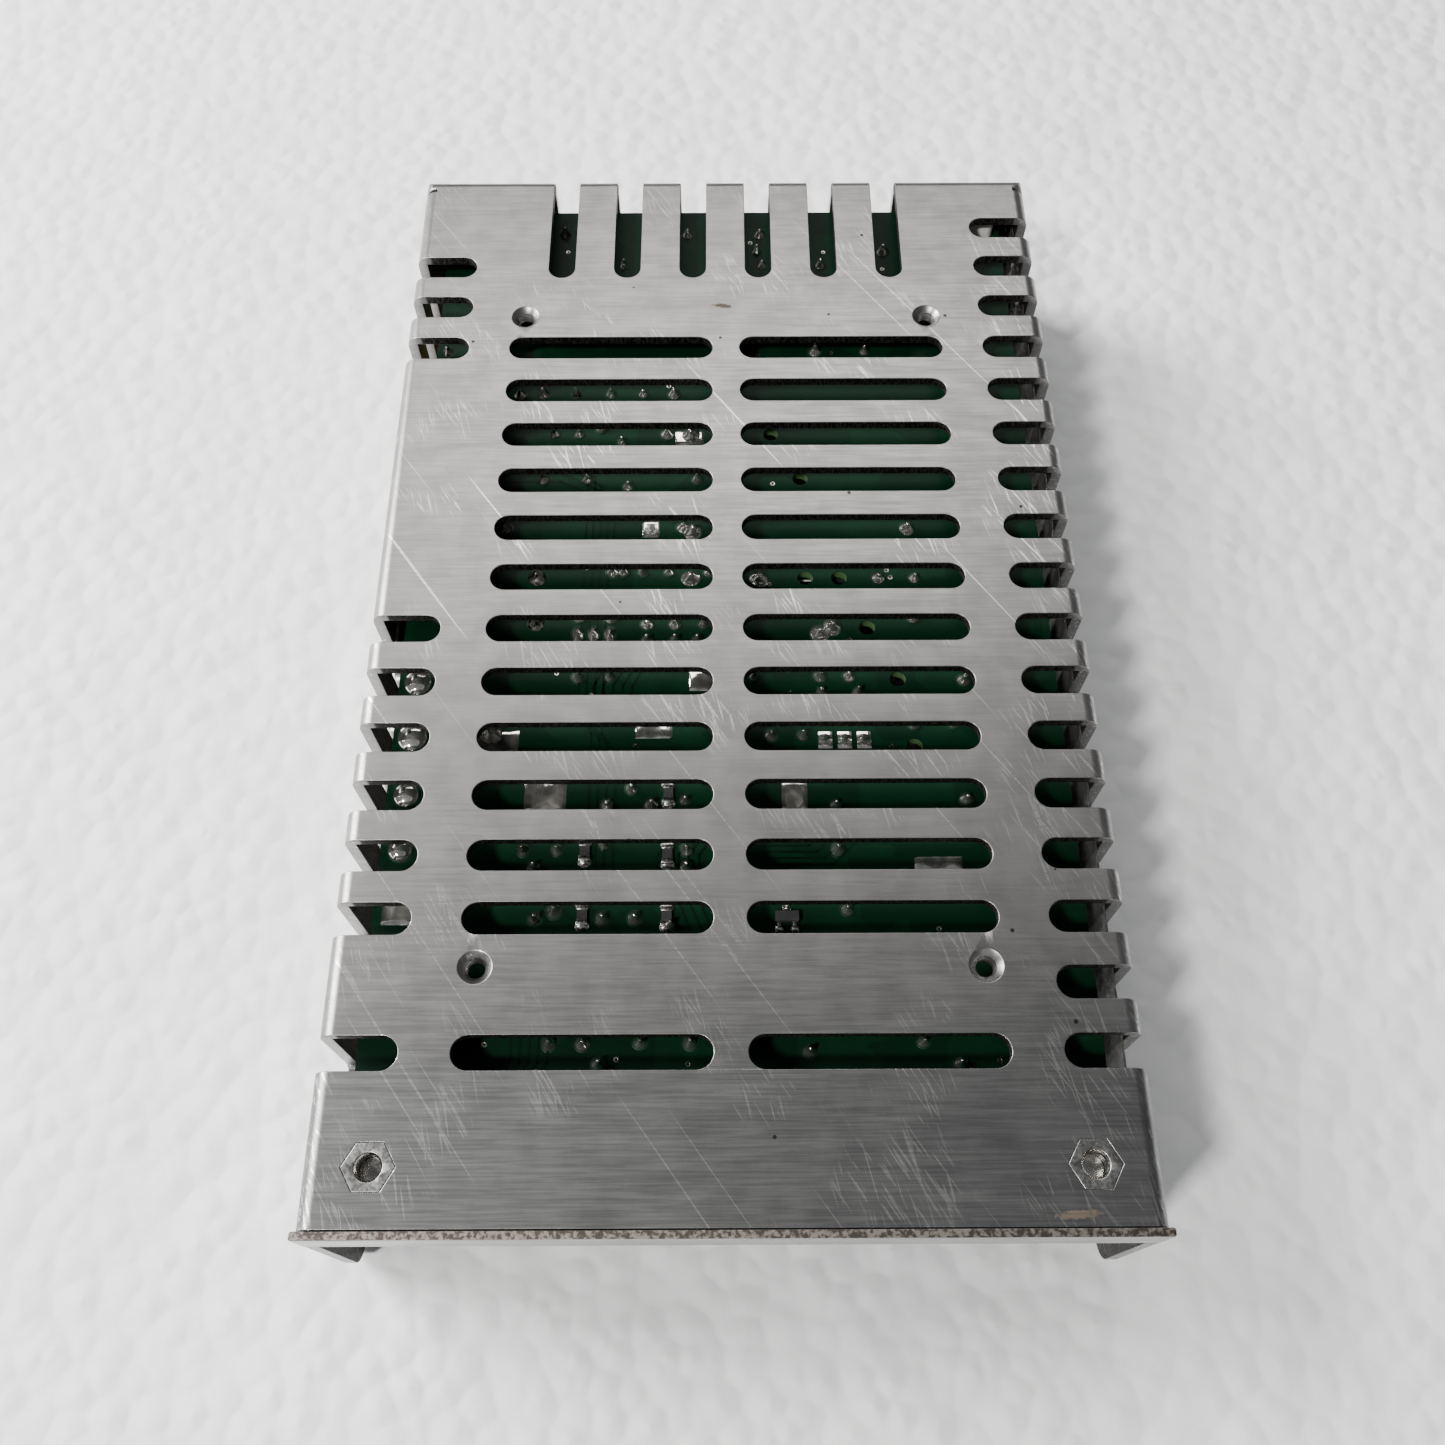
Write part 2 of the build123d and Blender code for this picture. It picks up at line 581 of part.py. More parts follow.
# ---------------------------------------------------------------- trimmer
TRIM_X, TRIM_Y = 21.5, -72.0
with BuildPart() as trimmer_body:
    with BuildSketch(under_board()):
        with Locations((TRIM_X, TRIM_Y)):
            Rectangle(6.8, 6.8)
    extrude(amount=-4.6)
    with BuildSketch(under_board(4.6)):
        with Locations((TRIM_X, TRIM_Y)):
            Circle(2.3)
    extrude(amount=1.6, mode=Mode.SUBTRACT)
save(trimmer_body.part, "trimmer_body")

with BuildPart() as trimmer_rotor:
    with BuildSketch(under_board(3.05)):
        with Locations((TRIM_X, TRIM_Y)):
            Circle(2.22)
    extrude(amount=-1.8)
    with BuildSketch(under_board(4.85)):
        with Locations((TRIM_X, TRIM_Y)):
            Rectangle(3.2, 0.6)
    extrude(amount=0.8, mode=Mode.SUBTRACT)
save(trimmer_rotor.part, "trimmer_rotor")

# ---------------------------------------------------------------- address switch
DIP_X, DIP_Y = 30.0, -57.5
SWITCH_H = 5.0
slider_x = [DIP_X + SLIDER_PITCH * (i - (SLIDERS - 1) / 2) for i in range(SLIDERS)]
with BuildPart() as switch_body:
    with BuildSketch(under_board()):
        with Locations((DIP_X, DIP_Y)):
            Rectangle(SLIDERS * SLIDER_PITCH + 1.2, 6.2)
    extrude(amount=-SWITCH_H)
    with BuildSketch(under_board(SWITCH_H)):
        with Locations([(x, DIP_Y) for x in slider_x]):
            Rectangle(1.3, 3.6)
    extrude(amount=1.6, mode=Mode.SUBTRACT)
save(switch_body.part, "switch_body")

for number, x in enumerate(slider_x, start=1):
    with BuildPart() as switch_slider:
        with BuildSketch(under_board(SWITCH_H - 1.5)):
            with Locations((x, DIP_Y - 1)):
                Rectangle(1.16, 1.4)
        extrude(amount=-2.4)
    save(switch_slider.part, f"switch_slider_{number}")

# ---------------------------------------------------------------- reset button
BUTTON_X, BUTTON_Y = 30.5, -72.6
BUTTON_H = 3.6
with BuildPart() as button_body:
    with BuildSketch(under_board()):
        with Locations((BUTTON_X, BUTTON_Y)):
            RectangleRounded(6.2, 6.2, 0.6)
    extrude(amount=-BUTTON_H)
    with BuildSketch(under_board(BUTTON_H)):
        with Locations((BUTTON_X, BUTTON_Y)):
            Circle(1.85)
    extrude(amount=1.2, mode=Mode.SUBTRACT)
save(button_body.part, "button_body")

with BuildPart() as button_cap:
    with BuildSketch(under_board(BUTTON_H - 0.8)):
        with Locations((BUTTON_X, BUTTON_Y)):
            Circle(1.75)
    extrude(amount=-2.2)
    fillet(button_cap.edges().group_by(Axis.Z)[0], 0.2)
save(button_cap.part, "button_cap")
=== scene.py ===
"""Looks of a servo driver unit: slotted aluminium chassis, plate uppermost, board hung below it."""
import random
from math import cos, pi, radians, sin

import bmesh
import bpy
from mathutils import Matrix, Vector


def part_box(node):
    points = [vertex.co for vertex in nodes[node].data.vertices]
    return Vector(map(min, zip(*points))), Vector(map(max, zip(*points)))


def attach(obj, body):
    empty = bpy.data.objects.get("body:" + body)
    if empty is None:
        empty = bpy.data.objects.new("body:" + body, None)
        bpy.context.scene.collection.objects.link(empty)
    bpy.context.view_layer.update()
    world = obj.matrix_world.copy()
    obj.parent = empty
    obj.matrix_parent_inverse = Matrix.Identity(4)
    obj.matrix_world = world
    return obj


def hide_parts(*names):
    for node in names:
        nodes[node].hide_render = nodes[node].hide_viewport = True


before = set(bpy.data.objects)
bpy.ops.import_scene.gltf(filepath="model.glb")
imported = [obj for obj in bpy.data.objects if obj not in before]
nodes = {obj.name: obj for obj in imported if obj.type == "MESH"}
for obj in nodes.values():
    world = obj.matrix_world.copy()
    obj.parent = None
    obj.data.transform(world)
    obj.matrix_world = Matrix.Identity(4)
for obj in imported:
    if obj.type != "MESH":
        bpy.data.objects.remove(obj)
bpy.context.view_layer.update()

MM = 0.001


# ---------------------------------------------------------------- measures from the frame, in millimetres
def box_mm(node):
    """Lowest and highest corner of a CAD node, in millimetres."""
    low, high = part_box(node)
    return low / MM, high / MM


def solids_of(node):
    """Box of every separate solid in a CAD node, in millimetres, from left to right."""
    bm = bmesh.new()
    bm.from_mesh(nodes[node].data)
    bmesh.ops.remove_doubles(bm, verts=bm.verts, dist=1e-7)
    waiting = set(bm.verts)
    boxes = []
    while waiting:
        front = [waiting.pop()]
        island = []
        while front:
            vert = front.pop()
            island.append(vert.co / MM)
            for edge in vert.link_edges:
                other = edge.other_vert(vert)
                if other in waiting:
                    waiting.remove(other)
                    front.append(other)
        low = Vector([min(co[i] for co in island) for i in range(3)])
        high = Vector([max(co[i] for co in island) for i in range(3)])
        boxes.append((low, high))
    bm.free()
    return sorted(boxes, key=lambda pair: (round(pair[0].x, 2), pair[0].y))


BOARD_LOW, BOARD_HIGH = box_mm("pcb")
PLATE = box_mm("chassis")[1].z
SHEET = 1.5
WALL_INNER = 45.1
DECK_Y = (BOARD_LOW.y + BOARD_HIGH.y) / 2
SOLDER_FACE = BOARD_HIGH.z
PARTS_FACE = BOARD_LOW.z


def on_board(x, y, up=0.0):
    """Place on the solder face, measured from the middle of the board."""
    return (x, DECK_Y + y, SOLDER_FACE + up)


# ---------------------------------------------------------------- mesh helpers
def shape(build):
    """Mesh of one repeated shape; build fills an empty bmesh in millimetres."""
    bm = bmesh.new()
    build(bm)
    bmesh.ops.remove_doubles(bm, verts=bm.verts, dist=1e-4)
    bmesh.ops.recalc_face_normals(bm, faces=bm.faces)
    mesh = bpy.data.meshes.new("shape")
    bm.to_mesh(mesh)
    bm.free()
    return mesh


def stamp(bm, mesh, place, turn=0.0, size=(1, 1, 1)):
    """Add a shape to bm at a place in millimetres, turned about Z."""
    start = len(bm.verts)
    bm.from_mesh(mesh)
    bm.verts.ensure_lookup_table()
    moved = Matrix.Translation(place) @ Matrix.Rotation(turn, 4, "Z") @ Matrix.Diagonal((*size, 1))
    bmesh.ops.transform(bm, matrix=moved, verts=bm.verts[start:])


def turned(outline, steps=16):
    """Shape spun about Z from (radius, height) points; an outline that ends on the axis is closed."""
    def build(bm):
        dots = [bm.verts.new((radius, 0, height)) for radius, height in outline]
        lines = [bm.edges.new(pair) for pair in zip(dots, dots[1:])]
        bmesh.ops.spin(bm, geom=dots + lines, cent=(0, 0, 0), axis=(0, 0, 1),
                       angle=2 * pi, steps=steps, use_merge=True)
    return shape(build)


def block(size, bevel=0.05, segments=2):
    """Box with broken edges, its foot on Z = 0."""
    def build(bm):
        bmesh.ops.create_cube(bm, size=1)
        bmesh.ops.scale(bm, vec=size, verts=bm.verts)
        bmesh.ops.translate(bm, vec=(0, 0, size[2] / 2), verts=bm.verts)
        bmesh.ops.bevel(bm, geom=bm.edges[:], offset=bevel, offset_type="OFFSET", segments=segments,
                        profile=0.5, affect="EDGES", material=-1)
    return shape(build)


def finish_piece(name, bm, material, sharp=40, replaces=()):
    """Turn a bmesh in millimetres into a piece of the unit."""
    bmesh.ops.scale(bm, vec=(MM, MM, MM), verts=bm.verts)
    mesh = bpy.data.meshes.new(name)
    bm.to_mesh(mesh)
    bm.free()
    mesh.polygons.foreach_set("use_smooth", [True] * len(mesh.polygons))
    mesh.set_sharp_from_angle(angle=radians(sharp))
    mesh.materials.append(material)
    piece = bpy.data.objects.new(name, mesh)
    bpy.context.scene.collection.objects.link(piece)
    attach(piece, "unit")
    if replaces:
        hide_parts(*replaces)
    return piece


def softened(node, width, name, material):
    """Piece that stands for a CAD node, with its sharp edges broken as tumbling leaves them."""
    bm = bmesh.new()
    bm.from_mesh(nodes[node].data)
    bmesh.ops.scale(bm, vec=(1 / MM, 1 / MM, 1 / MM), verts=bm.verts)
    bmesh.ops.remove_doubles(bm, verts=bm.verts, dist=1e-4)
    bmesh.ops.dissolve_limit(bm, angle_limit=radians(0.5), verts=bm.verts, edges=bm.edges)
    sharp = [e for e in bm.edges if len(e.link_faces) == 2 and e.calc_face_angle() > radians(40)]
    bmesh.ops.bevel(bm, geom=sharp, offset=width, offset_type="OFFSET", segments=2,
                    profile=0.5, affect="EDGES", clamp_overlap=False, material=-1)
    bmesh.ops.triangulate(bm, faces=bm.faces)
    piece = finish_piece(name, bm, material, sharp=50, replaces=(node,))
    even = piece.modifiers.new("even_normals", "WEIGHTED_NORMAL")
    even.keep_sharp = True
    even.weight = 100
    return piece


def wires(name, paths, radius, material, closed=False):
    """Round wires along smooth paths, given in millimetres."""
    curve = bpy.data.curves.new(name + "_path", "CURVE")
    curve.dimensions = "3D"
    curve.bevel_depth = radius * MM
    curve.bevel_resolution = 2
    curve.resolution_u = 4
    curve.use_fill_caps = True
    for path in paths:
        spline = curve.splines.new("NURBS")
        spline.points.add(len(path) - 1)
        for dot, place in zip(spline.points, path):
            dot.co = (*(Vector(place) * MM), 1)
        spline.use_cyclic_u = closed
        spline.order_u = 3
        spline.use_endpoint_u = not closed
    holder = bpy.data.objects.new(name + "_path", curve)
    mesh = bpy.data.meshes.new_from_object(holder)
    bpy.data.objects.remove(holder)
    bm = bmesh.new()
    bm.from_mesh(mesh)
    bmesh.ops.scale(bm, vec=(1 / MM, 1 / MM, 1 / MM), verts=bm.verts)
    return finish_piece(name, bm, material, sharp=60)


def ribbon(bm, path, width, height, base):
    """Flat trace of copper along a path of (x, y) corners."""
    for start, end in zip(path, path[1:]):
        start, end = Vector((*start, 0)), Vector((*end, 0))
        run = end - start
        made = bmesh.ops.create_cube(bm, size=1)["verts"]
        bmesh.ops.scale(bm, vec=(run.length + width * 0.4, width, height), verts=made)
        turn = run.to_2d().angle_signed(Vector((1, 0)), 0)
        bmesh.ops.rotate(bm, cent=(0, 0, 0), matrix=Matrix.Rotation(turn, 3, "Z"), verts=made)
        bmesh.ops.translate(bm, vec=(start + end) / 2 + Vector((0, 0, base + height / 2)), verts=made)


# ---------------------------------------------------------------- node helpers
def put(tree, kind, into=None, **settings):
    """Add a shader node; a value in into may be a socket or a constant."""
    node = tree.nodes.new("ShaderNode" + kind)
    for key, value in settings.items():
        setattr(node, key, value)
    for key, value in (into or {}).items():
        if isinstance(value, bpy.types.NodeSocket):
            tree.links.new(value, node.inputs[key])
        else:
            node.inputs[key].default_value = value
    return node


def place_on(tree, stretch=(1, 1, 1), turn=0.0):
    """Object coordinates on which a pattern is stretched along a direction turned about Z."""
    coords = put(tree, "TexCoord").outputs["Object"]
    return put(tree, "Mapping", {"Vector": coords, "Scale": stretch, "Rotation": (0, 0, turn)},
               vector_type="TEXTURE").outputs["Vector"]


def where(tree):
    """Separate X, Y and Z of the object's own coordinates, in metres."""
    return put(tree, "SeparateXYZ", {0: put(tree, "TexCoord").outputs["Object"]}).outputs


def facing(tree):
    """Separate X, Y and Z of the surface normal."""
    return put(tree, "SeparateXYZ", {0: put(tree, "NewGeometry").outputs["Normal"]}).outputs


def noise(tree, vector, scale, detail=2.0, roughness=0.5):
    return put(tree, "TexNoise", {"Vector": vector, "Scale": scale, "Detail": detail,
                                  "Roughness": roughness}).outputs["Fac"]


def between(tree, value, low, high, to_low=0.0, to_high=1.0, smooth=True):
    """Map a value from low..high to to_low..to_high."""
    kind = "SMOOTHSTEP" if smooth else "LINEAR"
    return put(tree, "MapRange", {"Value": value, "From Min": low, "From Max": high, "To Min": to_low,
                                  "To Max": to_high}, interpolation_type=kind).outputs["Result"]


def maths(tree, operation, first, second=0.0):
    node = put(tree, "Math", {0: first, 1: second}, operation=operation)
    return node.outputs[0]


def mixed(tree, mask, first, second):
    """Colour between first and second."""
    node = put(tree, "Mix", {0: mask, 6: first, 7: second}, data_type="RGBA")
    return node.outputs[2]


def effect(name, inputs, outputs):
    """Empty node group with named float inputs and outputs."""
    tree = bpy.data.node_groups.new(name, "ShaderNodeTree")
    for label, value in inputs:
        tree.interface.new_socket(label, in_out="INPUT", socket_type="NodeSocketFloat").default_value = value
    for label in outputs:
        tree.interface.new_socket(label, in_out="OUTPUT", socket_type="NodeSocketFloat")
    return tree, tree.nodes.new("NodeGroupInput").outputs, tree.nodes.new("NodeGroupOutput").inputs


def use(tree, group, **values):
    node = tree.nodes.new("ShaderNodeGroup")
    node.node_tree = group
    for key, value in values.items():
        node.inputs[key].default_value = value
    return node.outputs


# ---------------------------------------------------------------- shared effects
def make_mottle():
    """Cloudy unevenness with a finer tooth in it."""
    tree, given, out = effect("mottle", [("Patch", 150.0), ("Tooth", 2500.0)], ["Patches", "Tooth"])
    coords = place_on(tree)
    for label, name, detail in (("Patch", "Patches", 5.0), ("Tooth", "Tooth", 2.0)):
        texture = put(tree, "TexNoise", {"Vector": coords, "Scale": given[label], "Detail": detail})
        tree.links.new(texture.outputs["Fac"], out[name])
    return tree


def make_brushing():
    """Fine grain along X, as a rolled and brushed sheet has."""
    tree, given, out = effect("brushing", [("Fineness", 4200.0)], ["Grain", "Streaks"])
    long = place_on(tree, (30, 1, 1))
    grain = put(tree, "TexNoise", {"Vector": long, "Scale": given["Fineness"], "Detail": 3.0})
    streaks = noise(tree, place_on(tree, (7, 1, 1)), 600.0, 4.0, 0.6)
    tree.links.new(grain.outputs["Fac"], out["Grain"])
    tree.links.new(streaks, out["Streaks"])
    return tree


def make_scratches():
    """Fine slanted scratches that gather in clusters, and a few long ones."""
    tree, given, out = effect("scratches", [("Clusters", 70.0), ("Reach", 0.53)], ["Mask"])
    fine = noise(tree, place_on(tree, (15, 1, 1), radians(-58)), 2800.0, 1.0)
    cross = noise(tree, place_on(tree, (18, 1, 1), radians(-76)), 2600.0, 1.0)
    long = noise(tree, place_on(tree, (110, 1, 1), radians(-54)), 1900.0, 0.0)
    gather = put(tree, "TexNoise", {"Vector": place_on(tree), "Scale": given["Clusters"], "Detail": 2.0})
    side = put(tree, "SeparateXYZ", {0: place_on(tree)}).outputs["X"]
    rubbed = maths(tree, "ADD", gather.outputs["Fac"], between(tree, side, 0.03, 0.042, 0.0, 0.1))
    cluster = put(tree, "MapRange", {"Value": rubbed, "From Min": given["Reach"],
                                     "From Max": maths(tree, "ADD", given["Reach"], 0.1)})
    thick = maths(tree, "MAXIMUM", between(tree, fine, 0.61, 0.69), between(tree, cross, 0.62, 0.7))
    gathered = maths(tree, "MULTIPLY", thick, cluster.outputs["Result"])
    tree.links.new(maths(tree, "MAXIMUM", gathered, between(tree, long, 0.785, 0.815)), out["Mask"])
    return tree


def make_specks():
    """Scattered small dark dots."""
    tree, given, out = effect("specks", [("Spread", 160.0), ("Size", 0.05)], ["Mask"])
    cells = put(tree, "TexVoronoi", {"Vector": place_on(tree), "Scale": given["Spread"]})
    chosen = between(tree, put(tree, "SeparateColor", {0: cells.outputs["Color"]}).outputs[0], 0.55, 0.56)
    near = maths(tree, "LESS_THAN", cells.outputs["Distance"], given["Size"])
    tree.links.new(maths(tree, "MULTIPLY", near, chosen), out["Mask"])
    return tree


MOTTLE = make_mottle()
BRUSHING = make_brushing()
SCRATCHES = make_scratches()
SPECKS = make_specks()


# ---------------------------------------------------------------- materials
def start_material(name, **sockets):
    """Principled material with its constants on the shader's own sockets."""
    material = bpy.data.materials.new(name)
    material.use_nodes = True
    tree = material.node_tree
    shader = tree.nodes["Principled BSDF"]
    for key, value in sockets.items():
        shader.inputs[key.replace("_", " ")].default_value = value
    return material, tree, shader.inputs


def bump(tree, height, strength, distance, sockets):
    made = put(tree, "Bump", {"Height": height, "Strength": strength, "Distance": distance * MM})
    tree.links.new(made.outputs["Normal"], sockets["Normal"])


def plain(name, light, dark, rough=(0.35, 0.55), patch=150.0, tooth=2500.0, strength=0.15, **sockets):
    """Finish with a cloudy colour, uneven gloss and a fine tooth."""
    material, tree, shader = start_material(name, **sockets)
    cloud = use(tree, MOTTLE, Patch=patch, Tooth=tooth)
    tone = between(tree, cloud["Patches"], 0.35, 0.65)
    tree.links.new(mixed(tree, tone, (*dark, 1), (*light, 1)), shader["Base Color"])
    tree.links.new(between(tree, cloud["Tooth"], 0.3, 0.7, *rough), shader["Roughness"])
    bump(tree, cloud["Tooth"], strength, 0.05, shader)
    return material


def cut_face_and_wall_shade_mask(tree):
    """1 on the punched inner faces of the slots and nearly 1 on the inside of the walls, both painted dark as
    shade; 0 elsewhere.
    """
    normal = facing(tree)
    place = where(tree)
    upright = between(tree, maths(tree, "ABSOLUTE", normal["Z"]), 0.35, 0.15, smooth=False)
    inside = between(tree, maths(tree, "ABSOLUTE", place["X"]), (WALL_INNER + 0.4) * MM, WALL_INNER * MM,
                     smooth=False)
    in_sheet = maths(tree, "GREATER_THAN", place["Z"], (PLATE - SHEET - 0.3) * MM)
    punched = maths(tree, "MULTIPLY", maths(tree, "MULTIPLY", upright, inside), in_sheet)
    # the inside of the walls, facing inwards, is painted dark as shade
    inwards = maths(tree, "MULTIPLY", normal["X"], place["X"])
    return maths(tree, "MAXIMUM", punched, between(tree, inwards, -0.03, -0.044, 0.0, 0.85))


def stain(tree, x, y, long, wide, turn):
    """1 inside a ragged smear on the plate, centred at x, y in millimetres."""
    place = put(tree, "TexCoord").outputs["Object"]
    inside = put(tree, "Mapping", {"Vector": place, "Location": (x * MM, y * MM, PLATE * MM),
                                   "Rotation": (0, 0, turn), "Scale": (long * MM, wide * MM, 10)},
                 vector_type="TEXTURE").outputs["Vector"]
    reach = put(tree, "VectorMath", {0: inside}, operation="LENGTH").outputs["Value"]
    ragged = maths(tree, "ADD", reach, noise(tree, place_on(tree), 2400.0, 3.0, 0.6))
    return between(tree, ragged, 1.15, 0.85)


def make_sheet():
    """Bent aluminium sheet: brushed, mottled, scratched by handling, with punched edges; painted shade
    darkens its front part, its punched faces and the inside of its walls.
    """
    material, tree, shader = start_material("brushed_aluminium", Metallic=1.0)
    place = where(tree)
    cloud = use(tree, MOTTLE, Patch=260.0, Tooth=2600.0)
    brush = use(tree, BRUSHING, Fineness=4200.0)
    marks = use(tree, SCRATCHES, Clusters=75.0, Reach=0.53)
    dots = use(tree, SPECKS, Spread=170.0, Size=0.045)
    handled = between(tree, place["Y"], 0.02, 0.05, 1.0, 0.3)
    seen = maths(tree, "MULTIPLY", marks["Mask"], handled)
    patchy = between(tree, cloud["Patches"], 0.3, 0.7)
    # the front of the plate is painted darker and cooler as shade, standing in for its dimmer reflection; the
    # far part keeps the warmer tone
    warm = mixed(tree, patchy, (0.235, 0.229, 0.222, 1), (0.292, 0.285, 0.277, 1))
    painted_shade_front = mixed(tree, patchy, (0.165, 0.165, 0.164, 1), (0.205, 0.205, 0.203, 1))
    metal = mixed(tree, between(tree, place["Y"], -0.07, -0.035), painted_shade_front, warm)
    grained = mixed(tree, between(tree, brush["Grain"], 0.35, 0.7, 0.0, 0.35), metal, (0.16, 0.16, 0.16, 1))
    streaks = between(tree, brush["Streaks"], 0.45, 0.75, 0.0, 0.13)
    streaked = mixed(tree, streaks, grained, (0.45, 0.445, 0.44, 1))
    scratched = mixed(tree, maths(tree, "MULTIPLY", seen, 0.6), streaked, (0.7, 0.69, 0.675, 1))
    dotted = mixed(tree, dots["Mask"], scratched, (0.05, 0.045, 0.04, 1))
    brown_smear = maths(tree, "MULTIPLY", stain(tree, -0.5, 52.6, 2.6, 0.7, radians(-8)), 0.85)
    smeared = mixed(tree, brown_smear, dotted, (0.05, 0.035, 0.02, 1))
    rust_smear = maths(tree, "MULTIPLY", stain(tree, 37.5, -77.2, 5.0, 0.8, radians(4)), 0.7)
    chalked = mixed(tree, rust_smear, smeared, (0.55, 0.42, 0.32, 1))
    # punched faces are torn and dull, and painted near black as shade; the mask gives the inside of the walls
    # the same painted shade
    torn = noise(tree, place_on(tree, (1, 1, 3)), 4200.0, 3.0)
    cut = mixed(tree, between(tree, torn, 0.4, 0.65), (0.018, 0.017, 0.016, 1), (0.075, 0.072, 0.068, 1))
    mask = cut_face_and_wall_shade_mask(tree)
    tree.links.new(mixed(tree, mask, chalked, cut), shader["Base Color"])
    gloss = between(tree, brush["Grain"], 0.3, 0.7, 0.34, 0.4)
    polished = maths(tree, "SUBTRACT", gloss, maths(tree, "MULTIPLY", marks["Mask"], 0.08))
    tree.links.new(maths(tree, "ADD", polished, maths(tree, "MULTIPLY", mask, 0.25)), shader["Roughness"])
    relief = maths(tree, "ADD", maths(tree, "MULTIPLY", brush["Grain"], 0.8),
                   maths(tree, "SUBTRACT", maths(tree, "MULTIPLY", cloud["Tooth"], 0.3),
                         maths(tree, "MULTIPLY", marks["Mask"], 0.6)))
    bump(tree, relief, 0.12, 0.05, shader)
    return material


def make_lip():
    """Strip of the same sheet, its sheared top edge brown with speckles."""
    material, tree, shader = start_material("sheared_lip", Metallic=1.0)
    place = where(tree)
    normal = facing(tree)
    cloud = use(tree, MOTTLE, Patch=2200.0, Tooth=4200.0)
    brush = use(tree, BRUSHING, Fineness=4200.0)
    face = mixed(tree, between(tree, brush["Streaks"], 0.4, 0.7), (0.3, 0.295, 0.29, 1), (0.42, 0.41, 0.4, 1))
    speckles = between(tree, cloud["Patches"], 0.42, 0.6)
    edge = mixed(tree, speckles, (0.07, 0.06, 0.052, 1), (0.24, 0.215, 0.19, 1))
    on_top = maths(tree, "MULTIPLY", between(tree, normal["Z"], 0.6, 0.9),
                   maths(tree, "GREATER_THAN", place["Z"], (PLATE - 0.5) * MM))
    tree.links.new(mixed(tree, on_top, face, edge), shader["Base Color"])
    tree.links.new(between(tree, on_top, 0.0, 1.0, 0.34, 0.5), shader["Roughness"])
    bump(tree, maths(tree, "ADD", cloud["Tooth"], brush["Grain"]), 0.25, 0.05, shader)
    return material


def make_board():
    """Green solder mask over copper fields, with the paler laminate showing at the cut edges."""
    material, tree, shader = start_material("solder_mask", Roughness=0.45, Specular_IOR_Level=0.1)
    fields = put(tree, "TexVoronoi", {"Vector": place_on(tree), "Scale": 120.0}, distance="CHEBYCHEV")
    tone = put(tree, "SeparateColor", {0: fields.outputs["Color"]}).outputs[0]
    cloud = use(tree, MOTTLE, Patch=300.0, Tooth=3500.0)
    over_copper = between(tree, tone, 0.35, 0.65)
    copper = mixed(tree, over_copper, (0.001, 0.0155, 0.0068, 1), (0.0013, 0.023, 0.0095, 1))
    base = mixed(tree, between(tree, cloud["Patches"], 0.3, 0.7, 0.0, 0.5), copper, (0.0013, 0.013, 0.006, 1))
    place = where(tree)
    inner = maths(tree, "MULTIPLY", between(tree, place["Z"], BOARD_LOW.z * MM, (BOARD_LOW.z + 0.2) * MM),
                  between(tree, place["Z"], BOARD_HIGH.z * MM, (BOARD_HIGH.z - 0.2) * MM))
    tree.links.new(mixed(tree, inner, base, (0.07, 0.13, 0.055, 1)), shader["Base Color"])
    bump(tree, maths(tree, "ADD", tone, cloud["Tooth"]), 0.12, 0.04, shader)
    return material


def make_winding(name, dark, light, pitch):
    """Lacquered copper turns or tape layers, one line for each turn."""
    material, tree, shader = start_material(name, Metallic=0.6, Coat_Weight=0.6, Coat_Roughness=0.15)
    turns = put(tree, "TexWave", {"Vector": place_on(tree), "Scale": pitch, "Distortion": 0.6, "Detail": 1.0},
                bands_direction="Z")
    tree.links.new(mixed(tree, turns.outputs["Fac"], (*dark, 1), (*light, 1)), shader["Base Color"])
    tree.links.new(between(tree, turns.outputs["Fac"], 0, 1, 0.45, 0.25), shader["Roughness"])
    bump(tree, turns.outputs["Fac"], 0.5, 0.15, shader)
    return material


def make_clear(name, tint, rough, wave):
    """Clear film or glass, slightly dusty."""
    material, tree, shader = start_material(name, Metallic=0.0, Transmission_Weight=0.92, IOR=1.45)
    cloud = use(tree, MOTTLE, Patch=120.0, Tooth=1500.0)
    tree.links.new(mixed(tree, between(tree, cloud["Patches"], 0.4, 0.7), (*tint, 1), (0.6, 0.6, 0.58, 1)),
                   shader["Base Color"])
    tree.links.new(between(tree, cloud["Tooth"], 0.35, 0.7, rough, rough + 0.2), shader["Roughness"])
    bump(tree, cloud["Patches"], wave, 0.1, shader)
    return material


SHEET_METAL = make_sheet()
LIP_METAL = make_lip()
BOARD_GREEN = make_board()
COPPER_WIRE = make_winding("enamelled_copper", (0.25, 0.07, 0.03), (0.55, 0.2, 0.08), 9.0)
TAPE = make_winding("layered_tape", (0.35, 0.24, 0.04), (0.6, 0.45, 0.09), 500.0)
CLEAR_FILM = make_clear("clear_film", (0.42, 0.42, 0.4), 0.06, 0.02)
FUSE_GLASS = make_clear("fuse_glass", (0.9, 0.93, 0.92), 0.03, 0.05)
SOLDER = plain("bright_solder", (0.95, 0.93, 0.89), (0.6, 0.59, 0.56), (0.07, 0.16), 700.0, 1300.0, 0.1,
               Metallic=0.95)
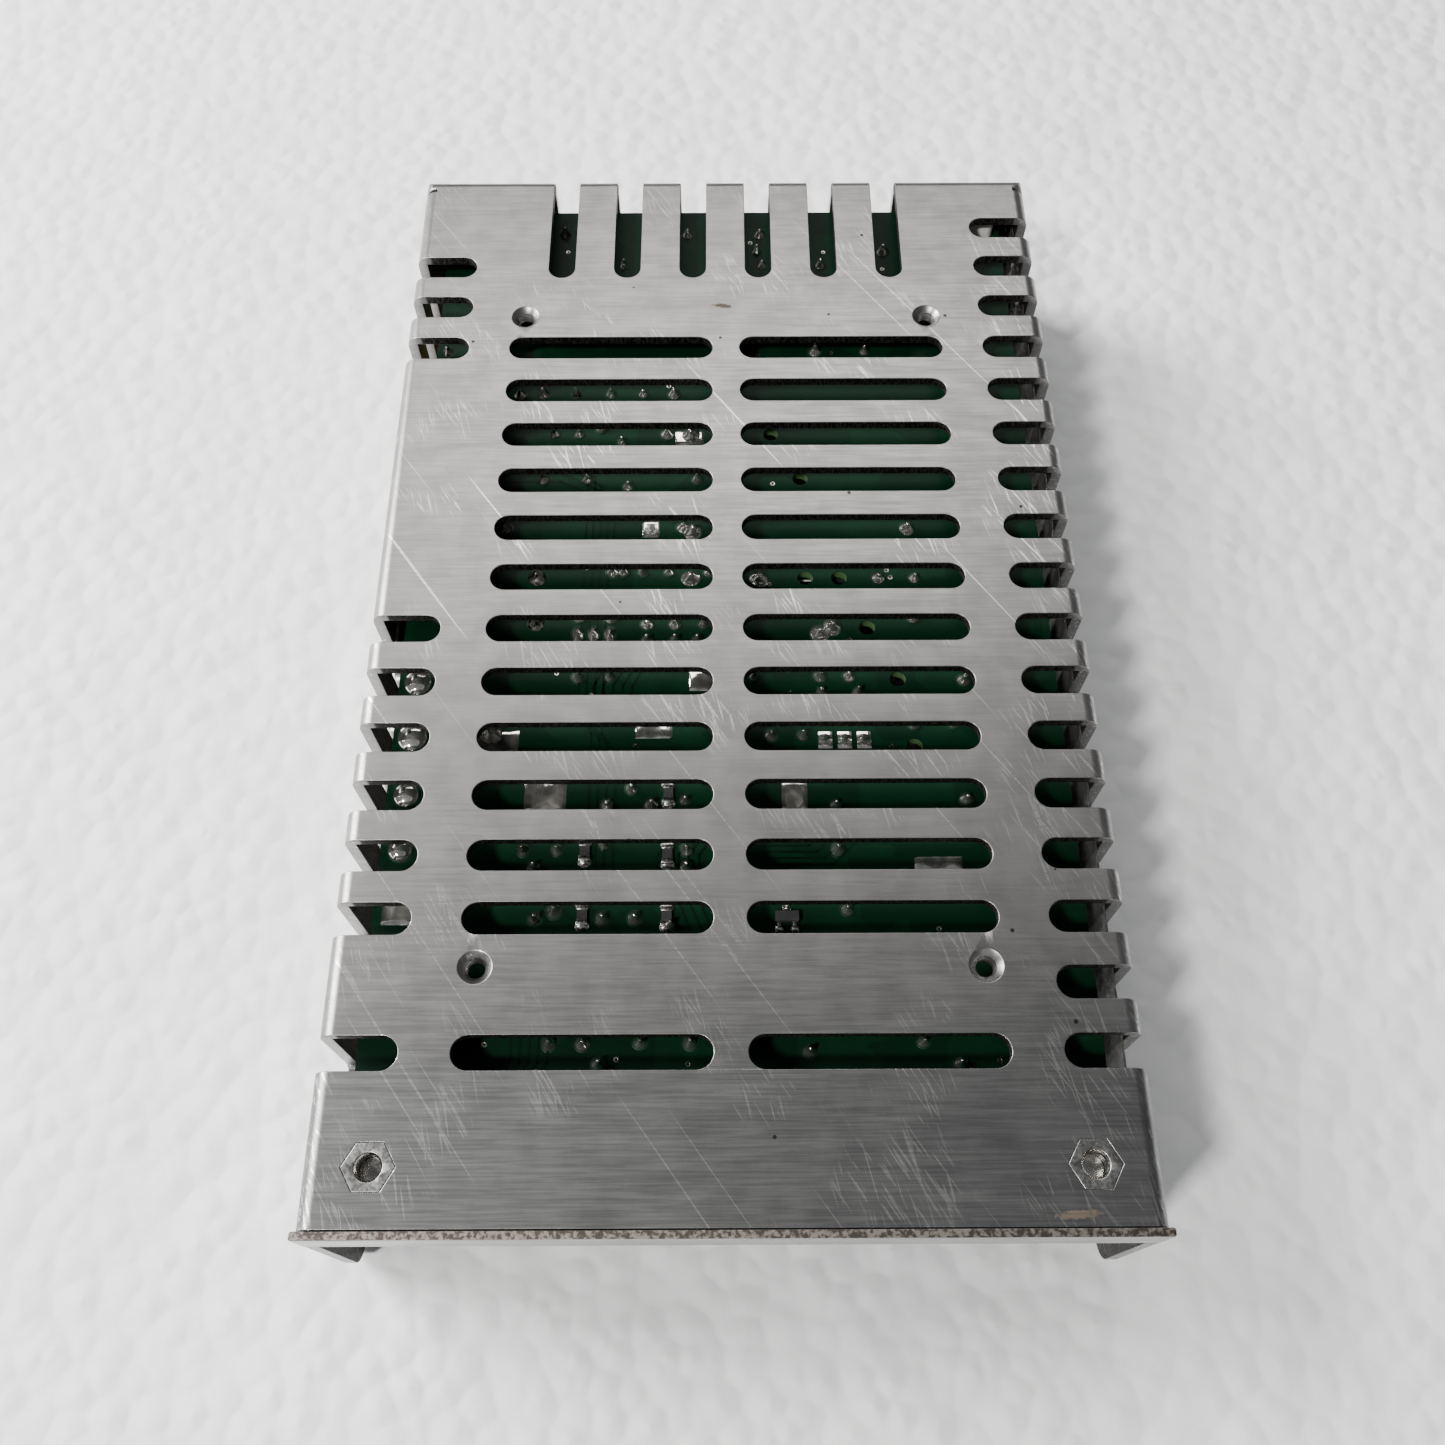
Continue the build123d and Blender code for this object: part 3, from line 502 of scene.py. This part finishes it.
# the darker of the two solders: rough and dull, with its darker colour painted shade; the vias use it too
SHADED_DULL_SOLDER = plain("shaded_dull_solder", (0.55, 0.54, 0.5), (0.14, 0.135, 0.12), (0.2, 0.45), 700.0, 1400.0, 0.7,
                    Metallic=1.0)
FLUX = plain("flux_residue", (0.006, 0.03, 0.014), (0.004, 0.012, 0.007), (0.35, 0.5), 500.0, 1500.0, 0.15,
             Specular_IOR_Level=0.15)
TRACE_GREEN = plain("mask_over_trace", (0.001, 0.012, 0.005), (0.001, 0.007, 0.003), (0.4, 0.5),
                    Specular_IOR_Level=0.1)
PLATED = plain("nickel_plate", (0.62, 0.6, 0.56), (0.36, 0.35, 0.33), (0.18, 0.35), 400.0, 2600.0, 0.2,
               Metallic=1.0)
WORN_STEEL = plain("worn_steel", (0.3, 0.3, 0.295), (0.2, 0.198, 0.192), (0.3, 0.42), 600.0, 2600.0, 0.2,
                   Metallic=1.0)
CHIP_BLACK = plain("moulded_epoxy", (0.03, 0.03, 0.032), (0.014, 0.014, 0.015), (0.45, 0.65))
CHIP_ENDS = plain("tinned_ends", (0.7, 0.69, 0.66), (0.4, 0.39, 0.37), (0.18, 0.34), 1200.0, 3000.0, 0.3,
                  Metallic=1.0)
TERMINAL_BLACK = plain("terminal_plastic", (0.035, 0.035, 0.037), (0.018, 0.018, 0.019), (0.4, 0.6),
                       120.0, 1800.0)
WHITE_PLASTIC = plain("white_nylon", (0.8, 0.79, 0.75), (0.64, 0.63, 0.58), (0.35, 0.5))
SLEEVE = plain("shrink_sleeve", (0.02, 0.022, 0.03), (0.009, 0.01, 0.014), (0.22, 0.34), 90.0, 1500.0, 0.2)
FERRITE = plain("ferrite", (0.075, 0.075, 0.08), (0.03, 0.03, 0.033), (0.4, 0.65), 700.0, 2600.0, 0.35)
POWDER_CORE = plain("painted_powder_core", (0.55, 0.5, 0.08), (0.4, 0.35, 0.05), (0.3, 0.5),
                    300.0, 1800.0, 0.4)
PAD_GREY = plain("silicone_pad", (0.35, 0.36, 0.37), (0.24, 0.25, 0.26), (0.6, 0.8))
FIN_BLACK = plain("anodised_fins", (0.035, 0.035, 0.038), (0.015, 0.015, 0.017), (0.3, 0.45), Metallic=0.7)
FILM_BOX = plain("film_capacitor_case", (0.5, 0.33, 0.05), (0.4, 0.25, 0.035), (0.25, 0.4), 100.0, 1500.0)
LAMP_GREEN = plain("green_lens", (0.05, 0.5, 0.12), (0.03, 0.38, 0.08), (0.08, 0.2), Transmission_Weight=0.5)
TRIMMER_BLUE = plain("trimmer_case", (0.03, 0.12, 0.42), (0.02, 0.08, 0.3), (0.3, 0.45))
SWITCH_RED = plain("switch_case", (0.42, 0.03, 0.025), (0.3, 0.02, 0.018), (0.3, 0.45))
CAN_ALUMINIUM = plain("drawn_can", (0.72, 0.72, 0.73), (0.5, 0.5, 0.51), (0.22, 0.36), 250.0, 2600.0, 0.2,
                      Metallic=1.0)
RUBBER = plain("rubber_seal", (0.03, 0.028, 0.027), (0.016, 0.015, 0.015), (0.6, 0.8))
SILK_WHITE = plain("silk_ink", (0.75, 0.76, 0.72), (0.55, 0.56, 0.52), (0.5, 0.65))

NODE_FINISH = {
    "pcb": BOARD_GREEN,
    "standoff_screws": PLATED, "clamp_screws": PLATED, "clamp_bar": PLATED,
    "terminal_plates": PLATED, "fuse_caps": PLATED, "fuse_clips": PLATED, "header_pins": CHIP_ENDS,
    "board_supports": WHITE_PLASTIC, "button_body": CHIP_BLACK, "button_cap": WHITE_PLASTIC,
    "chip_resistors": CHIP_BLACK, "chip_transistors": CHIP_BLACK, "control_chip": CHIP_BLACK,
    "gate_drivers": CHIP_BLACK, "power_transistors": CHIP_BLACK, "rectifier": CHIP_BLACK,
    "header_body": CHIP_BLACK, "insulating_film": CLEAR_FILM, "insulating_pads": PAD_GREY,
    "terminal_block": TERMINAL_BLACK, "transformer_core": FERRITE, "transformer_winding": TAPE,
    "transformer_pins": TERMINAL_BLACK, "filter_choke_core": FERRITE, "output_choke_core": POWDER_CORE,
    "bulk_capacitor_1": SLEEVE, "bulk_capacitor_2": SLEEVE, "output_capacitors": SLEEVE,
    "heatsink": FIN_BLACK, "fuse_tube": FUSE_GLASS, "film_capacitor": FILM_BOX,
    "status_lamp": LAMP_GREEN, "trimmer_body": TRIMMER_BLUE, "trimmer_rotor": WHITE_PLASTIC,
    "switch_body": SWITCH_RED,
}
for number in range(1, 6):
    NODE_FINISH[f"terminal_clamp_{number}"] = PLATED
    NODE_FINISH[f"terminal_screw_{number}"] = PLATED
for number in range(1, 5):
    NODE_FINISH[f"switch_slider_{number}"] = WHITE_PLASTIC
for name, finish in NODE_FINISH.items():
    nodes[name].data.materials.clear()
    nodes[name].data.materials.append(finish)

# ---------------------------------------------------------------- chassis and lip
softened("chassis", 0.1, "chassis_sheet", SHEET_METAL)
softened("front_lip", 0.16, "lip_strip", LIP_METAL)
softened("hex_standoffs", 0.12, "pressed_standoffs", WORN_STEEL)

MOUNT_X, MOUNT_Y = 60.0, 100.0
TAP_R = 1.25
THREAD = 0.5


def make_threads(name, places, radius, top, bottom, material):
    """Rings of thread lining round holes."""
    rise = THREAD / 2
    count = int((top - bottom) / rise)
    outline = [(radius - (0.16 if i % 2 else 0.01), top - i * rise) for i in range(count)]
    lining = turned(outline, 24)
    bm = bmesh.new()
    for x, y in places:
        stamp(bm, lining, (x, y, 0))
    bmesh.ops.reverse_faces(bm, faces=bm.faces)
    finish_piece(name, bm, material, sharp=20)


mount_places = [(sx * MOUNT_X / 2, DECK_Y + sy * MOUNT_Y / 2) for sx in (-1, 1) for sy in (-1, 1)]
make_threads("tap_threads", mount_places, TAP_R, PLATE - 0.9, PLATE - 2.6, SHEET_METAL)
standoffs = [(low + high) / 2 for low, high in solids_of("hex_standoffs")]
standoff_places = [(mid.x, mid.y) for mid in standoffs]
make_threads("standoff_threads", standoff_places, 1.55, PLATE - 0.15, PLATE - 1.45, PLATED)

# ---------------------------------------------------------------- solder joints on the board
# each band is one line of component leads: its distance along the board, then where the leads come through
JOINT_BANDS = [
    (72.0, [-25.5, -6.0, 5.5]), (68.3, [5.0, 25.0]), (65.4, [-16.0, 5.8, 15.0]),
    (47.7, [-42.3, 13.5, 21.0, -34.0]), (39.5, [-30.8, -27.3, -22.4, -17.2, -12.4, -7.8]),
    (32.1, [-25.3, -21.6, -8.7]), (33.1, [-18.4]), (30.7, [-15.3]),
    (23.9, [-26.4, -20.1, -4.2]), (22.7, [-14.2]), (15.4, [-31.4, -6.2]),
    (8.0, [-16.0, -14.4, -11.7, -8.1, -2.5]), (6.9, [21.0, 26.0]),
    (0.6, [-16.0, 25.5, -20.3]), (-0.4, [-11.0, -7.2, -3.2]), (-3.0, [-11.0, -7.2, -4.2]),
    (-8.6, [-20.1, -15.8, 12.3, 16.2, 3.5]), (-9.2, [31.6]), (-11.0, [12.4, 17.3]),
    (-17.4, [5.6, 9.8]), (-15.7, [24.5, 29.7]), (-24.9, [-12.5]), (-26.6, [-5.6, 30.5]),
    (-27.2, [-15.6, -9.9, 13.7]), (-33.4, [-26.0, -21.7, 13.7, -5.4]), (-32.6, [-15.8]),
    (-35.6, [-24.5, -5.4]),
    (-41.4, [-21.6, 14.5]), (-42.4, [-24.0, -15.7, -11.7]), (-43.3, [-7.3]),
    (-57.7, [-21.5, -17.5, -10.7, -4.8, 22.8]), (-58.8, [9.3]), (-60.2, [-15.5, 27.0]),
]
# joints left of this line take the darker solder, as painted shade
DIM_JOINTS_X = -22.0
random.seed(11)

solder_cone = turned([(0, 0), (0.95, 0.0), (0.88, 0.16), (0.72, 0.42), (0.54, 0.74), (0.4, 1.02), (0.31, 1.3),
                      (0.24, 1.5), (0.12, 1.6), (0, 1.62)], 14)
flux_land = turned([(0, 0), (1.28, 0.0), (1.2, 0.03), (0, 0.04)], 18)
wide_joint = turned([(0, 0), (1.7, 0), (1.6, 0.2), (1.2, 0.62), (0.8, 1.0), (0.55, 1.25), (0.4, 1.6),
                     (0, 1.7)], 20)

bright, shaded_dull, lands = bmesh.new(), bmesh.new(), bmesh.new()
for band_y, band in JOINT_BANDS:
    for x in band:
        size = random.uniform(0.72, 0.98)
        turn = random.uniform(0, 2 * pi)
        place = on_board(x, band_y)
        tall = random.uniform(0.75, 1.15)
        oval = random.uniform(0.85, 1.15)
        stamp(shaded_dull if x < DIM_JOINTS_X else bright, solder_cone, place, turn, (size * oval, size, tall))
        stamp(lands, flux_land, place, turn, (size * oval * 0.95, size * 0.95, 1))
# three long joints where a device's legs are soldered side by side
for x in (-20.4, -18.3, -16.1):
    place = on_board(x, -2.0)
    stamp(bright, solder_cone, place, 0, (0.85, 1.25, 0.9))
    stamp(lands, flux_land, place, 0, (0.85, 1.2, 1))
# large joints of the power leads
WIDE_JOINTS = [(-4.8, 14.9, 0.9), (-5.1, 7.0, 0.85), (-26.5, 7.2, 0.8), (12.6, -1.9, 0.9), (14.3, -0.9, 0.85),
               (-26.3, -0.2, 0.75), (-31.2, -17.0, 1.0), (4.4, 6.9, 0.85), (-5.2, 31.9, 0.9),
               (25.5, 15.2, 0.7)]
for x, y, size in WIDE_JOINTS:
    turn = random.uniform(0, 2 * pi)
    place = on_board(x, y)
    stamp(shaded_dull if x < DIM_JOINTS_X else bright, wide_joint, place, turn, (size, size * 0.9, 0.9))
    stamp(lands, flux_land, place, turn, (size * 1.25, size * 1.25, 1))
finish_piece("solder_joints", bright, SOLDER, sharp=70)
finish_piece("shaded_joints", shaded_dull, SHADED_DULL_SOLDER, sharp=70)


def lumpy(bm, amount, seed):
    """Push points about, as solder that froze unevenly."""
    random.seed(seed)
    for vert in bm.verts:
        if vert.co.z > SOLDER_FACE + 0.05:
            vert.co += Vector([random.uniform(-amount, amount) for _ in range(3)])


# heavy joints along the left edge, where the power leads come up
EDGE_X = -41.4
EDGE_JOINTS = [(-9.4, 2.0, 1.5), (-17.5, 2.1, 1.3), (-25.7, 1.8, 1.3), (-33.2, 1.7, 1.4)]
dome = turned([(0, 0), (1.0, 0), (0.98, 0.18), (0.86, 0.42), (0.62, 0.62), (0.3, 0.74), (0, 0.78)], 24)
heavy = bmesh.new()
for y, radius, tall in EDGE_JOINTS:
    place = on_board(EDGE_X, y)
    stamp(heavy, dome, place, 0, (radius * 0.95, radius, tall))
    stamp(lands, flux_land, place, 0, (1.35, 1.4, 1))
    stamp(heavy, solder_cone, on_board(EDGE_X - 0.4, y + 0.3, tall * 0.5), 0.4, (0.7, 0.7, 0.6))
lumpy(heavy, 0.02, 5)
finish_piece("power_joints", heavy, SOLDER, sharp=70)
finish_piece("flux_marks", lands, FLUX, sharp=50)

# tinned lands: wide pads that carry the current, with a wavy skin of solder
LANDS = [(-3.7, -9.1, 3.0, 3.2), (-9.8, -16.7, 4.8, 2.1), (-23.6, -26.0, 5.4, 5.2), (8.4, -26.2, 3.3, 5.0),
         (26.2, -35.4, 6.0, 2.0), (-41.0, -41.5, 3.8, 3.2), (-10.8, 15.3, 2.4, 2.8), (-5.4, 31.5, 4.2, 2.6),
         (-30.5, -18.6, 6.0, 4.0)]
LAND_SKIN = 0.12
tinned = bmesh.new()
for x, y, wide, deep in LANDS:
    made = bmesh.ops.create_grid(tinned, x_segments=10, y_segments=10, size=0.5)["verts"]
    bmesh.ops.scale(tinned, vec=(wide, deep, 1), verts=made)
    bmesh.ops.translate(tinned, vec=on_board(x, y, LAND_SKIN), verts=made)
    for vert in made:
        rim = max(abs(vert.co.x - x) / wide, abs(vert.co.y - DECK_Y - y) / deep)
        wave = 0.07 * sin(1.7 * vert.co.x + 1.3 * y) * cos(1.3 * vert.co.y + x)
        vert.co.z += -LAND_SKIN if rim > 0.49 else wave
bmesh.ops.solidify(tinned, geom=tinned.faces[:], thickness=0.1)
finish_piece("tinned_lands", tinned, SOLDER, sharp=60)

# three square lands of the header, each with its pin end and fillet
pins = solids_of("header_pins")
pin_land = block((1.9, 2.5, 0.14), 0.06)
pin_cone = turned([(0, 0), (0.95, 0), (0.75, 0.2), (0.5, 0.55), (0.34, 0.9), (0.3, 1.3), (0, 1.35)], 12)
header = bmesh.new()
for low, high in pins:
    mid = (low + high) / 2
    stamp(header, pin_land, (mid.x, mid.y, SOLDER_FACE))
    stamp(header, pin_cone, (mid.x, mid.y, SOLDER_FACE + 0.1), 0.4)
finish_piece("header_lands", header, SOLDER)

# ends of the chip resistors and legs of the small transistors
chip_end = block((1.5, 0.75, 0.62), 0.12)
chip_foot = turned([(0, 0), (1.0, 0), (0.8, 0.12), (0.5, 0.3), (0, 0.34)], 12)
ends = bmesh.new()
for low, high in solids_of("chip_resistors"):
    mid = (low + high) / 2
    for side in (low.y, high.y):
        stamp(ends, chip_end, (mid.x, side, SOLDER_FACE))
        outwards = 0.35 if side > mid.y else -0.35
        stamp(ends, chip_foot, (mid.x, side + outwards, SOLDER_FACE), 0, (0.9, 0.8, 1.3))
for low, high in solids_of("chip_transistors"):
    mid = (low + high) / 2
    for x, side in ((low.x + 0.5, -1), (high.x - 0.5, -1), (mid.x, 1)):
        foot_y = low.y - 0.4 if side < 0 else high.y + 0.4
        stamp(ends, block((0.5, 1.1, 0.3), 0.08), (x, foot_y, SOLDER_FACE))
        stamp(ends, chip_foot, (x, foot_y + side * 0.3, SOLDER_FACE), 0, (0.55, 0.6, 1))
finish_piece("chip_end_caps", ends, CHIP_ENDS)

# ---------------------------------------------------------------- traces, vias and silk outlines
TRACE = 0.3
TRACE_HEIGHT = 0.035
TRACE_PITCH = 0.85


def trace(bm, corners):
    """Copper trace on the solder face, its corners measured from the middle of the board."""
    ribbon(bm, [(x, DECK_Y + y) for x, y in corners], TRACE, TRACE_HEIGHT, SOLDER_FACE)


traces = bmesh.new()
for i in range(4):
    x = -20 + i * TRACE_PITCH * 1.3
    trace(traces, [(x, 12), (x, -14 - i), (x + 2, -17 - i), (x + 2, -36)])
for i in range(5):
    x = -15 + i * 1.3
    y = -i * TRACE_PITCH
    trace(traces, [(x, -4), (x - 3, -10), (x - 3, -13)])
    trace(traces, [(x + 9, -30), (x + 6, -34), (x + 6, -40), (x + 8, -45)])
    trace(traces, [(4, y - 32), (9 + i, y - 32), (13 + i, y - 28), (24, y - 28)])
    trace(traces, [(-36, 30 - i * 1.6), (-24, 30 - i * 1.6), (-20 + i, 26 - i * 1.6), (-20 + i, 12)])
    trace(traces, [(-26 + i * 1.1, -54), (-26 + i * 1.1, -60), (-30 + i * 1.1, -65)])
finish_piece("board_traces", traces, TRACE_GREEN, sharp=30)

via = turned([(0.14, 0.03), (0.17, 0.05), (0.33, 0.05), (0.36, 0)], 10)
vias = bmesh.new()
random.seed(23)
for _ in range(70):
    place = on_board(random.uniform(-38, 40), random.uniform(-72, 72))
    stamp(vias, via, place)
finish_piece("board_vias", vias, SHADED_DULL_SOLDER)


def outline_on_board(bm, low, high, gap=0.5):
    """White line round a part on the component face."""
    left, right, near, far = low.x - gap, high.x + gap, low.y - gap, high.y + gap
    corners = [(left, near), (right, near), (right, far), (left, far), (left, near)]
    ribbon(bm, corners, 0.2, 0.03, PARTS_FACE - 0.035)


silk = bmesh.new()
for name in ("control_chip", "gate_drivers", "film_capacitor", "switch_body", "trimmer_body", "button_body",
             "transformer_pins", "rectifier", "output_capacitors", "fuse_clips", "header_body"):
    for low, high in solids_of(name):
        outline_on_board(silk, low, high)
finish_piece("silk_outlines", silk, SILK_WHITE)


# ---------------------------------------------------------------- windings and leads
def wind_core(name, turns, wire, gap):
    """Wire wound round a ring core, as many turns as given."""
    low, high = box_mm(name + "_core")
    mid = (low + high) / 2
    outer = (high.x - low.x) / 2
    inner = 4.0 if outer > 8 else 3.2
    loop = [(inner - gap, low.z + 1), (inner - gap, high.z - 1), (inner, high.z + gap),
            (outer - 0.6, high.z + gap), (outer + gap, high.z - 0.6), (outer + gap, low.z + 0.6),
            (outer - 0.6, low.z - gap), (inner, low.z - gap)]
    paths = []
    for i in range(turns):
        angle = radians(25) + i * radians(310) / turns
        out = Vector((cos(angle), sin(angle), 0))
        path = []
        for radius, z in loop:
            spot = out * radius + Vector((mid.x, mid.y, z))
            path.append((spot.x, spot.y, spot.z))
        paths.append(path)
    wires(name + "_winding", paths, wire, COPPER_WIRE, closed=True)


wind_core("filter_choke", 26, 0.42, 0.4)
wind_core("output_choke", 22, 0.4, 0.35)

bungs, can_ends, leads = bmesh.new(), bmesh.new(), []
bung = turned([(0, 0), (7.4, 0), (7.6, 0.12), (7.4, 0.24), (0, 0.26)], 32)
can_end = turned([(0, 0), (7.5, 0), (7.7, 0.15), (7.4, 0.3), (6.9, 0.2), (0, 0.2)], 36)
for number in (1, 2):
    low, high = box_mm(f"bulk_capacitor_{number}")
    mid = (low + high) / 2
    for bm, mesh, y, tilt in ((bungs, bung, low.y + 0.05, pi / 2),
                              (can_ends, can_end, high.y - 0.05, -pi / 2)):
        start = len(bm.verts)
        stamp(bm, mesh, (0, 0, 0))
        bm.verts.ensure_lookup_table()
        moved = Matrix.Translation((mid.x, y, mid.z)) @ Matrix.Rotation(tilt, 4, "X")
        bmesh.ops.transform(bm, matrix=moved, verts=bm.verts[start:])
    for side in (-3.75, 3.75):
        x = mid.x + side
        leads.append([(x, low.y + 0.4, mid.z), (x, low.y - 1.2, mid.z), (x, low.y - 2.2, mid.z + 0.4),
                      (x, low.y - 2.6, mid.z + 1.6), (x, low.y - 2.6, PARTS_FACE)])
finish_piece("capacitor_seals", bungs, RUBBER)
finish_piece("capacitor_can_ends", can_ends, CAN_ALUMINIUM)
wires("capacitor_leads", leads, 0.4, CHIP_ENDS)

# tops of the standing capacitors: crimped rim and a pressed cross vent
tops = bmesh.new()
top = turned([(0, 0.02), (3.9, 0.02), (4.2, -0.12), (4.0, -0.2), (0, -0.16)], 28)
for low, high in solids_of("output_capacitors"):
    mid = (low + high) / 2
    stamp(tops, top, (mid.x, mid.y, low.z))
    for turn in (0, pi / 2):
        stamp(tops, block((5.6, 0.28, 0.12), 0.05), (mid.x, mid.y, low.z - 0.25), turn)
finish_piece("capacitor_tops", tops, CAN_ALUMINIUM)

# tape round the transformer's core
core_low, core_high = box_mm("transformer_core")
core_mid = (core_low + core_high) / 2
core_size = core_high - core_low


def build_tape(bm):
    bmesh.ops.create_cube(bm, size=1)
    ends = [face for face in bm.faces if abs(face.normal.y) > 0.5]
    bmesh.ops.delete(bm, geom=ends, context="FACES")
    bmesh.ops.scale(bm, vec=(core_size.x + 0.24, core_size.y * 0.7, core_size.z + 0.24), verts=bm.verts)
    bmesh.ops.recalc_face_normals(bm, faces=bm.faces)
    bmesh.ops.bevel(bm, geom=[e for e in bm.edges if not e.is_boundary], offset=0.3, offset_type="OFFSET",
                    segments=3, profile=0.5, affect="EDGES", material=-1)
    bmesh.ops.solidify(bm, geom=bm.faces[:], thickness=0.08)


tape = bmesh.new()
stamp(tape, shape(build_tape), core_mid)
finish_piece("core_tape", tape, TAPE)

# fuse element inside the glass
fuse_low, fuse_high = box_mm("fuse_tube")
fuse_mid = (fuse_low + fuse_high) / 2
element = [(fuse_mid.x, fuse_low.y - 0.6, fuse_mid.z), (fuse_mid.x, fuse_mid.y - 2, fuse_mid.z - 0.25),
           (fuse_mid.x, fuse_mid.y + 2, fuse_mid.z - 0.25), (fuse_mid.x, fuse_high.y + 0.6, fuse_mid.z)]
wires("fuse_element", [element], 0.12, CHIP_ENDS)


# legs of the chips that stand off the board's component face
def make_chip_legs():
    bm = bmesh.new()
    leg = block((0.45, 1.5, 1.5), 0.1)
    low, high = box_mm("control_chip")
    for i in range(7):
        x = low.x + 1.2 + i * (high.x - low.x - 2.4) / 6
        for y in (low.y - 0.5, high.y + 0.5):
            stamp(bm, leg, (x, y, PARTS_FACE - 1.52))
    wide_leg = block((1.5, 0.45, 1.5), 0.1)
    for low, high in solids_of("gate_drivers"):
        for i in range(4):
            y = low.y + 1.1 + i * (high.y - low.y - 2.2) / 3
            for x in (low.x - 0.5, high.x + 0.5):
                stamp(bm, wide_leg, (x, y, PARTS_FACE - 1.52))
    finish_piece("chip_legs", bm, CHIP_ENDS)


make_chip_legs()

# ---------------------------------------------------------------- camera, floor and light
CAMERA_PLACE = Vector((-0.00128, -0.0960, 0.1844))
CAMERA_TILT = (26.64, -0.04, -0.26)
LENS_MM, FILM_MM = 34.18, 36.0

camera_data = bpy.data.cameras.new("camera")
camera_data.lens = LENS_MM
camera_data.sensor_width = FILM_MM
camera_data.clip_start = 0.01
camera = bpy.data.objects.new("camera", camera_data)
camera.location = CAMERA_PLACE
camera.rotation_euler = [radians(angle) for angle in CAMERA_TILT]
bpy.context.scene.collection.objects.link(camera)
bpy.context.scene.camera = camera


def make_floor():
    """Pale foam sheet with faint bead outlines and soft dents."""
    material, tree, shader = start_material("pale_foam", Roughness=0.6, Specular_IOR_Level=0.35)
    beads = put(tree, "TexVoronoi", {"Vector": place_on(tree), "Scale": 260.0, "Smoothness": 0.35},
                feature="SMOOTH_F1")
    dents = noise(tree, place_on(tree), 45.0, 4.0, 0.55)
    tree.links.new(mixed(tree, between(tree, dents, 0.35, 0.7), (0.84, 0.845, 0.85, 1), (0.9, 0.9, 0.905, 1)),
                   shader["Base Color"])
    relief = maths(tree, "SUBTRACT", maths(tree, "MULTIPLY", dents, 2.0),
                   maths(tree, "MULTIPLY", beads.outputs["Distance"], 1.1))
    bump(tree, relief, 0.7, 0.9, shader)
    mesh = bpy.data.meshes.new("foam_floor")
    bm = bmesh.new()
    bmesh.ops.create_grid(bm, x_segments=1, y_segments=1, size=1.2)
    bm.to_mesh(mesh)
    bm.free()
    mesh.materials.append(material)
    floor = bpy.data.objects.new("foam_floor", mesh)
    bpy.context.scene.collection.objects.link(floor)


make_floor()


def softbox(name, place, aim, width, height, power, colour):
    """Soft area light at a place, facing aim."""
    data = bpy.data.lights.new(name, "AREA")
    data.shape = "RECTANGLE"
    data.size, data.size_y = width, height
    data.energy = power
    data.color = colour
    light = bpy.data.objects.new(name, data)
    light.location = place
    light.rotation_euler = (Vector(aim) - Vector(place)).to_track_quat("-Z", "Y").to_euler()
    bpy.context.scene.collection.objects.link(light)


softbox("window_light", (-0.75, 0.28, 0.52), (0, 0, 0), 0.5, 0.5, 25, (1.0, 0.995, 0.985))
softbox("far_wall_light", (-0.06, 0.82, 1.0), (0, 0, 0), 0.9, 0.35, 5.9, (1.0, 0.99, 0.975))
softbox("near_wall_light", (0.15, -1.2, 0.42), (0, 0, 0), 1.2, 0.4, 1.5, (0.985, 0.99, 1.0))
softbox("ceiling_lamp", (-0.4, -0.45, 0.75), (0, 0, 0), 0.1, 0.1, 9, (1.0, 0.985, 0.96))

world = bpy.data.worlds.new("room")
world.use_nodes = True
room = world.node_tree
backdrop = room.nodes["Background"]
backdrop.inputs["Color"].default_value = (0.94, 0.97, 1.0, 1)
seen = put(room, "LightPath").outputs["Is Camera Ray"]
room.links.new(between(room, seen, 0.0, 1.0, 0.17, 0.75, smooth=False), backdrop.inputs["Strength"])
bpy.context.scene.world = world
